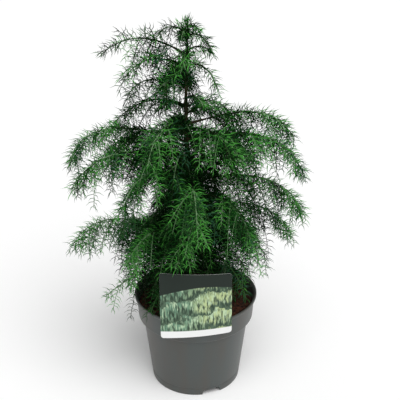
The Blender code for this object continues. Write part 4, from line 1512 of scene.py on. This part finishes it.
# %% Grow all the masses
LEADER_STEPS = 8
LEADER_SPACING = 0.6 * MM
LEADER_NUMBERS = 60
YOUNG_TRUNK = (56.0 * CM, 62.4 * CM)
YOUNG_STEPS = 12
YOUNG_TRUNK_TONE = -0.1
EXTRA_DROOP = 0.15
LEADER_SHOOTS = [
    (64.6, 185, 4.5, 64.4, 60, -80),
    (64.2, 350, 3.9, 61.9, 45, -80),
    (65.8, 330, 2.3, 65.2, 30, -75),
    (63.6, 110, 3.4, 63.4, 40, -70),
    (65.2, 250, 2.2, 64.4, 30, -70),
]
EXTRA_SHOOTS = [
    ("top_left", 0.36, 68, 27 * MM),
    ("top_left", 0.46, 80, 20 * MM),
    ("top_left", 0.60, 55, 16 * MM),
    ("top_left", 0.18, -40, 34 * MM),
    ("top_left", 0.24, -60, 46 * MM),
    ("top_left", 0.30, -62, 46 * MM),
    ("top_left", 0.37, -70, 40 * MM),
    ("top_left", 0.45, -50, 26 * MM),
    ("upper_left", 0.26, -70, 38 * MM),
    ("upper_left", 0.36, -60, 42 * MM),
    ("upper_left", 0.46, -75, 40 * MM),
    ("drooping_left", 0.14, -70, 60 * MM),
    ("drooping_left", 0.20, -82, 74 * MM),
    ("drooping_left", 0.27, -66, 62 * MM),
    ("drooping_left", 0.34, -78, 58 * MM),
    ("low_left", 0.16, 74, 46 * MM),
    ("low_left", 0.24, 52, 44 * MM),
]
sprays = []
stand_ins = {}
for number, name in enumerate([*BRANCHES, "leader"]):
    region = region_of(*BRANCHES.get(name, (TRUNK_TIP / CM, 0))[:2])
    stem = branch_lines.get(name)
    if name in BOUGHS:
        length = line_length(stem)
        stem = stretch(stem, BOUGH_SHARE * length + CLEARANCE, length, LINE_STEPS)
    elif name == "leader":
        top = trunk_point(TRUNK_TIP)
        end = Vector((top.x, top.y, LEADER_TIP))
        stem = [top.lerp(end, share) for share in shares(LEADER_STEPS)]
    stand_ins.setdefault(region, []).append(f"needles_{name}")
    sprays += grow_mass(region, name, number, stem)

young_trunk = [trunk_point(part_way(*YOUNG_TRUNK, share)) for share in shares(YOUNG_STEPS)]
for line, tone in ((stem, 0.0), (young_trunk, YOUNG_TRUNK_TONE)):
    radii = np.full(len(line), FINE_TIP_RADIUS)
    sprays.append(Spray("top", line_array(line), radii, TWIGLET_SIDES, tone, TWIGLET_NEEDLE,
                        spacing=LEADER_SPACING))
for number, sizes in enumerate(LEADER_SHOOTS):
    sprays += grow_mass("top", "leader", number + LEADER_NUMBERS, branch_curve(sizes))
for name, share, lift, size in EXTRA_SHOOTS:
    line = branch_lines[name]
    foot, heading = along(line, share * line_length(line))
    way = sloping(Vector((heading.x, heading.y, 0)).normalized(), lift)
    region = region_of(*BRANCHES[name][:2])
    sprays.append(shoot_spray(region, (foot, way, size, EXTRA_DROOP), TONES.get(name, 0.0)))
sprays += spurs
together = sum(np.linalg.norm(np.diff(spray.points, axis=0), axis=1).sum() for spray in sprays)
print("sprays:", len(sprays), "and together", round(together), "m")

# %% [markdown]
# ## Greens
#
# In the photograph each spray has its own green: fresh and pale at the outside where the light
# falls, deeper behind, bluish here and there, and almost black next to the trunk. A texture
# could not follow that, but the place of a spray can: the more other sprays lie between it and
# the light, the darker the plain green that it is dealt. Its tone shifts that a little, and a
# seeded draw makes neighbours differ, as real ones do.
# So the greens are painted light and painted shade, from the shaded green to the fresh one.

# %% Deal the greens
# Painted shade and painted light: one needle colour, darker the less open a spray is to the light.
GREENS = [
    ("shaded green", (0.0015, 0.014, 0.002)),
    ("deep green", (0.004, 0.042, 0.006)),
    ("leaf green", (0.011, 0.078, 0.013)),
    ("spring green", (0.026, 0.142, 0.021)),
    ("fresh green", (0.085, 0.390, 0.055)),
    ("bluish highlight green", (0.024, 0.108, 0.050)),
]
BRIGHTEST = 4
# The bluish green is partly the needles' own bluish tone and partly a painted highlight, paler than its
# neighbours.
BLUISH_HIGHLIGHT = 5
BLUISH_HIGHLIGHT_SHARE = 0.10
SHEEN_STEP = 0.035
NEEDLE_ROUGHNESS = 0.45
LEVEL_COUNT = 3.9
LEVEL_DICE = (-0.4, 0.6)
GREEN_SEED = SEED + 3
LIGHT_WAY = (0.8, 0.6)
OWN_REACH = 8 * MM
SHADE_REACH = 95 * MM
SHADE_COUNT = 34
CONE = 0.55


def openness(middles):
    """How open each place is to the light: near 1 at the outside and near 0 deep inside."""
    outward = middles * (1, 1, 0) - (TRUNK_X, 0, 0)
    outward /= np.linalg.norm(outward, axis=1, keepdims=True) + MM
    ways = outward * LIGHT_WAY[0] + np.array((0, 0, LIGHT_WAY[1]))
    found = np.empty(len(middles))
    for index, (middle, way) in enumerate(zip(middles, ways)):
        gaps = middles - middle
        distances = np.linalg.norm(gaps, axis=1)
        near = (distances < SHADE_REACH) & (distances > OWN_REACH)
        between = near & (gaps @ way > CONE * distances)
        found[index] = math.exp(-between.sum() / SHADE_COUNT)
    return found


def deal_greens():
    """The number of each spray's green, from its place, its tone and a seeded draw."""
    dice = random.Random(GREEN_SEED)
    open_shares = openness(np.array([spray.points[len(spray.points) // 2] for spray in sprays]))
    dealt = []
    for spray, share in zip(sprays, open_shares):
        level = int(LEVEL_COUNT * (share + spray.tone) + dice.uniform(*LEVEL_DICE))
        level = min(BRIGHTEST, max(0, level))
        dealt.append(BLUISH_HIGHLIGHT if level > 1 and dice.random() < BLUISH_HIGHLIGHT_SHARE else level)
    return dealt


greens = deal_greens()
green_surfaces = []
for level, (name, colour) in enumerate(GREENS):
    sheen = SHEEN_STEP * (level + 0.5)
    green_surfaces.append(plain_surface(name, colour, NEEDLE_ROUGHNESS, sheen))
# The old shoot colour is the old stems' own colour and also painted shade on twigs in shaded sprays; the
# pale one is painted light on twigs in lit sprays.
wood_surfaces = [
    plain_surface("old and shaded shoot", (0.014, 0.026, 0.009), roughness=0.7, specular=0.05),
    plain_surface("young shoot", (0.036, 0.095, 0.026), roughness=0.5, specular=0.1),
    plain_surface("pale lit shoot", (0.150, 0.270, 0.125), roughness=0.5, specular=0.2),
]
# Which wood a twig gets from its green: painted shade for the two darkest, painted light for spring and
# fresh.
WOOD_OF_GREEN = [0, 0, 1, 2, 2, 1]
for level, (name, colour) in enumerate(GREENS):
    print(name, "sprays:", greens.count(level))

# %% [markdown]
# ## Draw the needles and twigs
#
# Now every spray becomes a thin tube with its ranks of needles. One mesh for the whole crown
# would be too heavy to work with, and one for each spray far too many, so they are gathered by
# region: top, left, front, right and back. Each region's needles and twigs stand in place of the
# plain masses there.

# %% Make the meshes of each region
total = 0
for region, nodes in stand_ins.items():
    dice = np.random.default_rng(SEED + len(nodes))
    rows = []
    tubes = []
    kinds = []
    for spray, green in zip(sprays, greens):
        if spray.region != region:
            continue
        rows.append(needle_rows(spray.points, green, dice, spray.spacing, spray.length))
        tubes.append(tube(spray.points, spray.radii, spray.sides))
        kinds += [0 if spray.wood == "old" else WOOD_OF_GREEN[green]] * len(tubes[-1][1])
    leaf_mesh = needle_mesh(f"needles_{region}", np.concatenate(rows))
    add_piece(f"needles_{region}", leaf_mesh, green_surfaces, nodes)
    wood_mesh = mesh_from_arrays(f"twigs_{region}", *joined(tubes), kinds)
    add_piece(f"twigs_{region}", wood_mesh, wood_surfaces)
    counts = (len(leaf_mesh.polygons), len(wood_mesh.polygons))
    total += sum(counts)
    print(region, len(nodes), "masses,", counts[0], "needle and", counts[1], "twig triangles")
print("foliage triangles in all:", total)
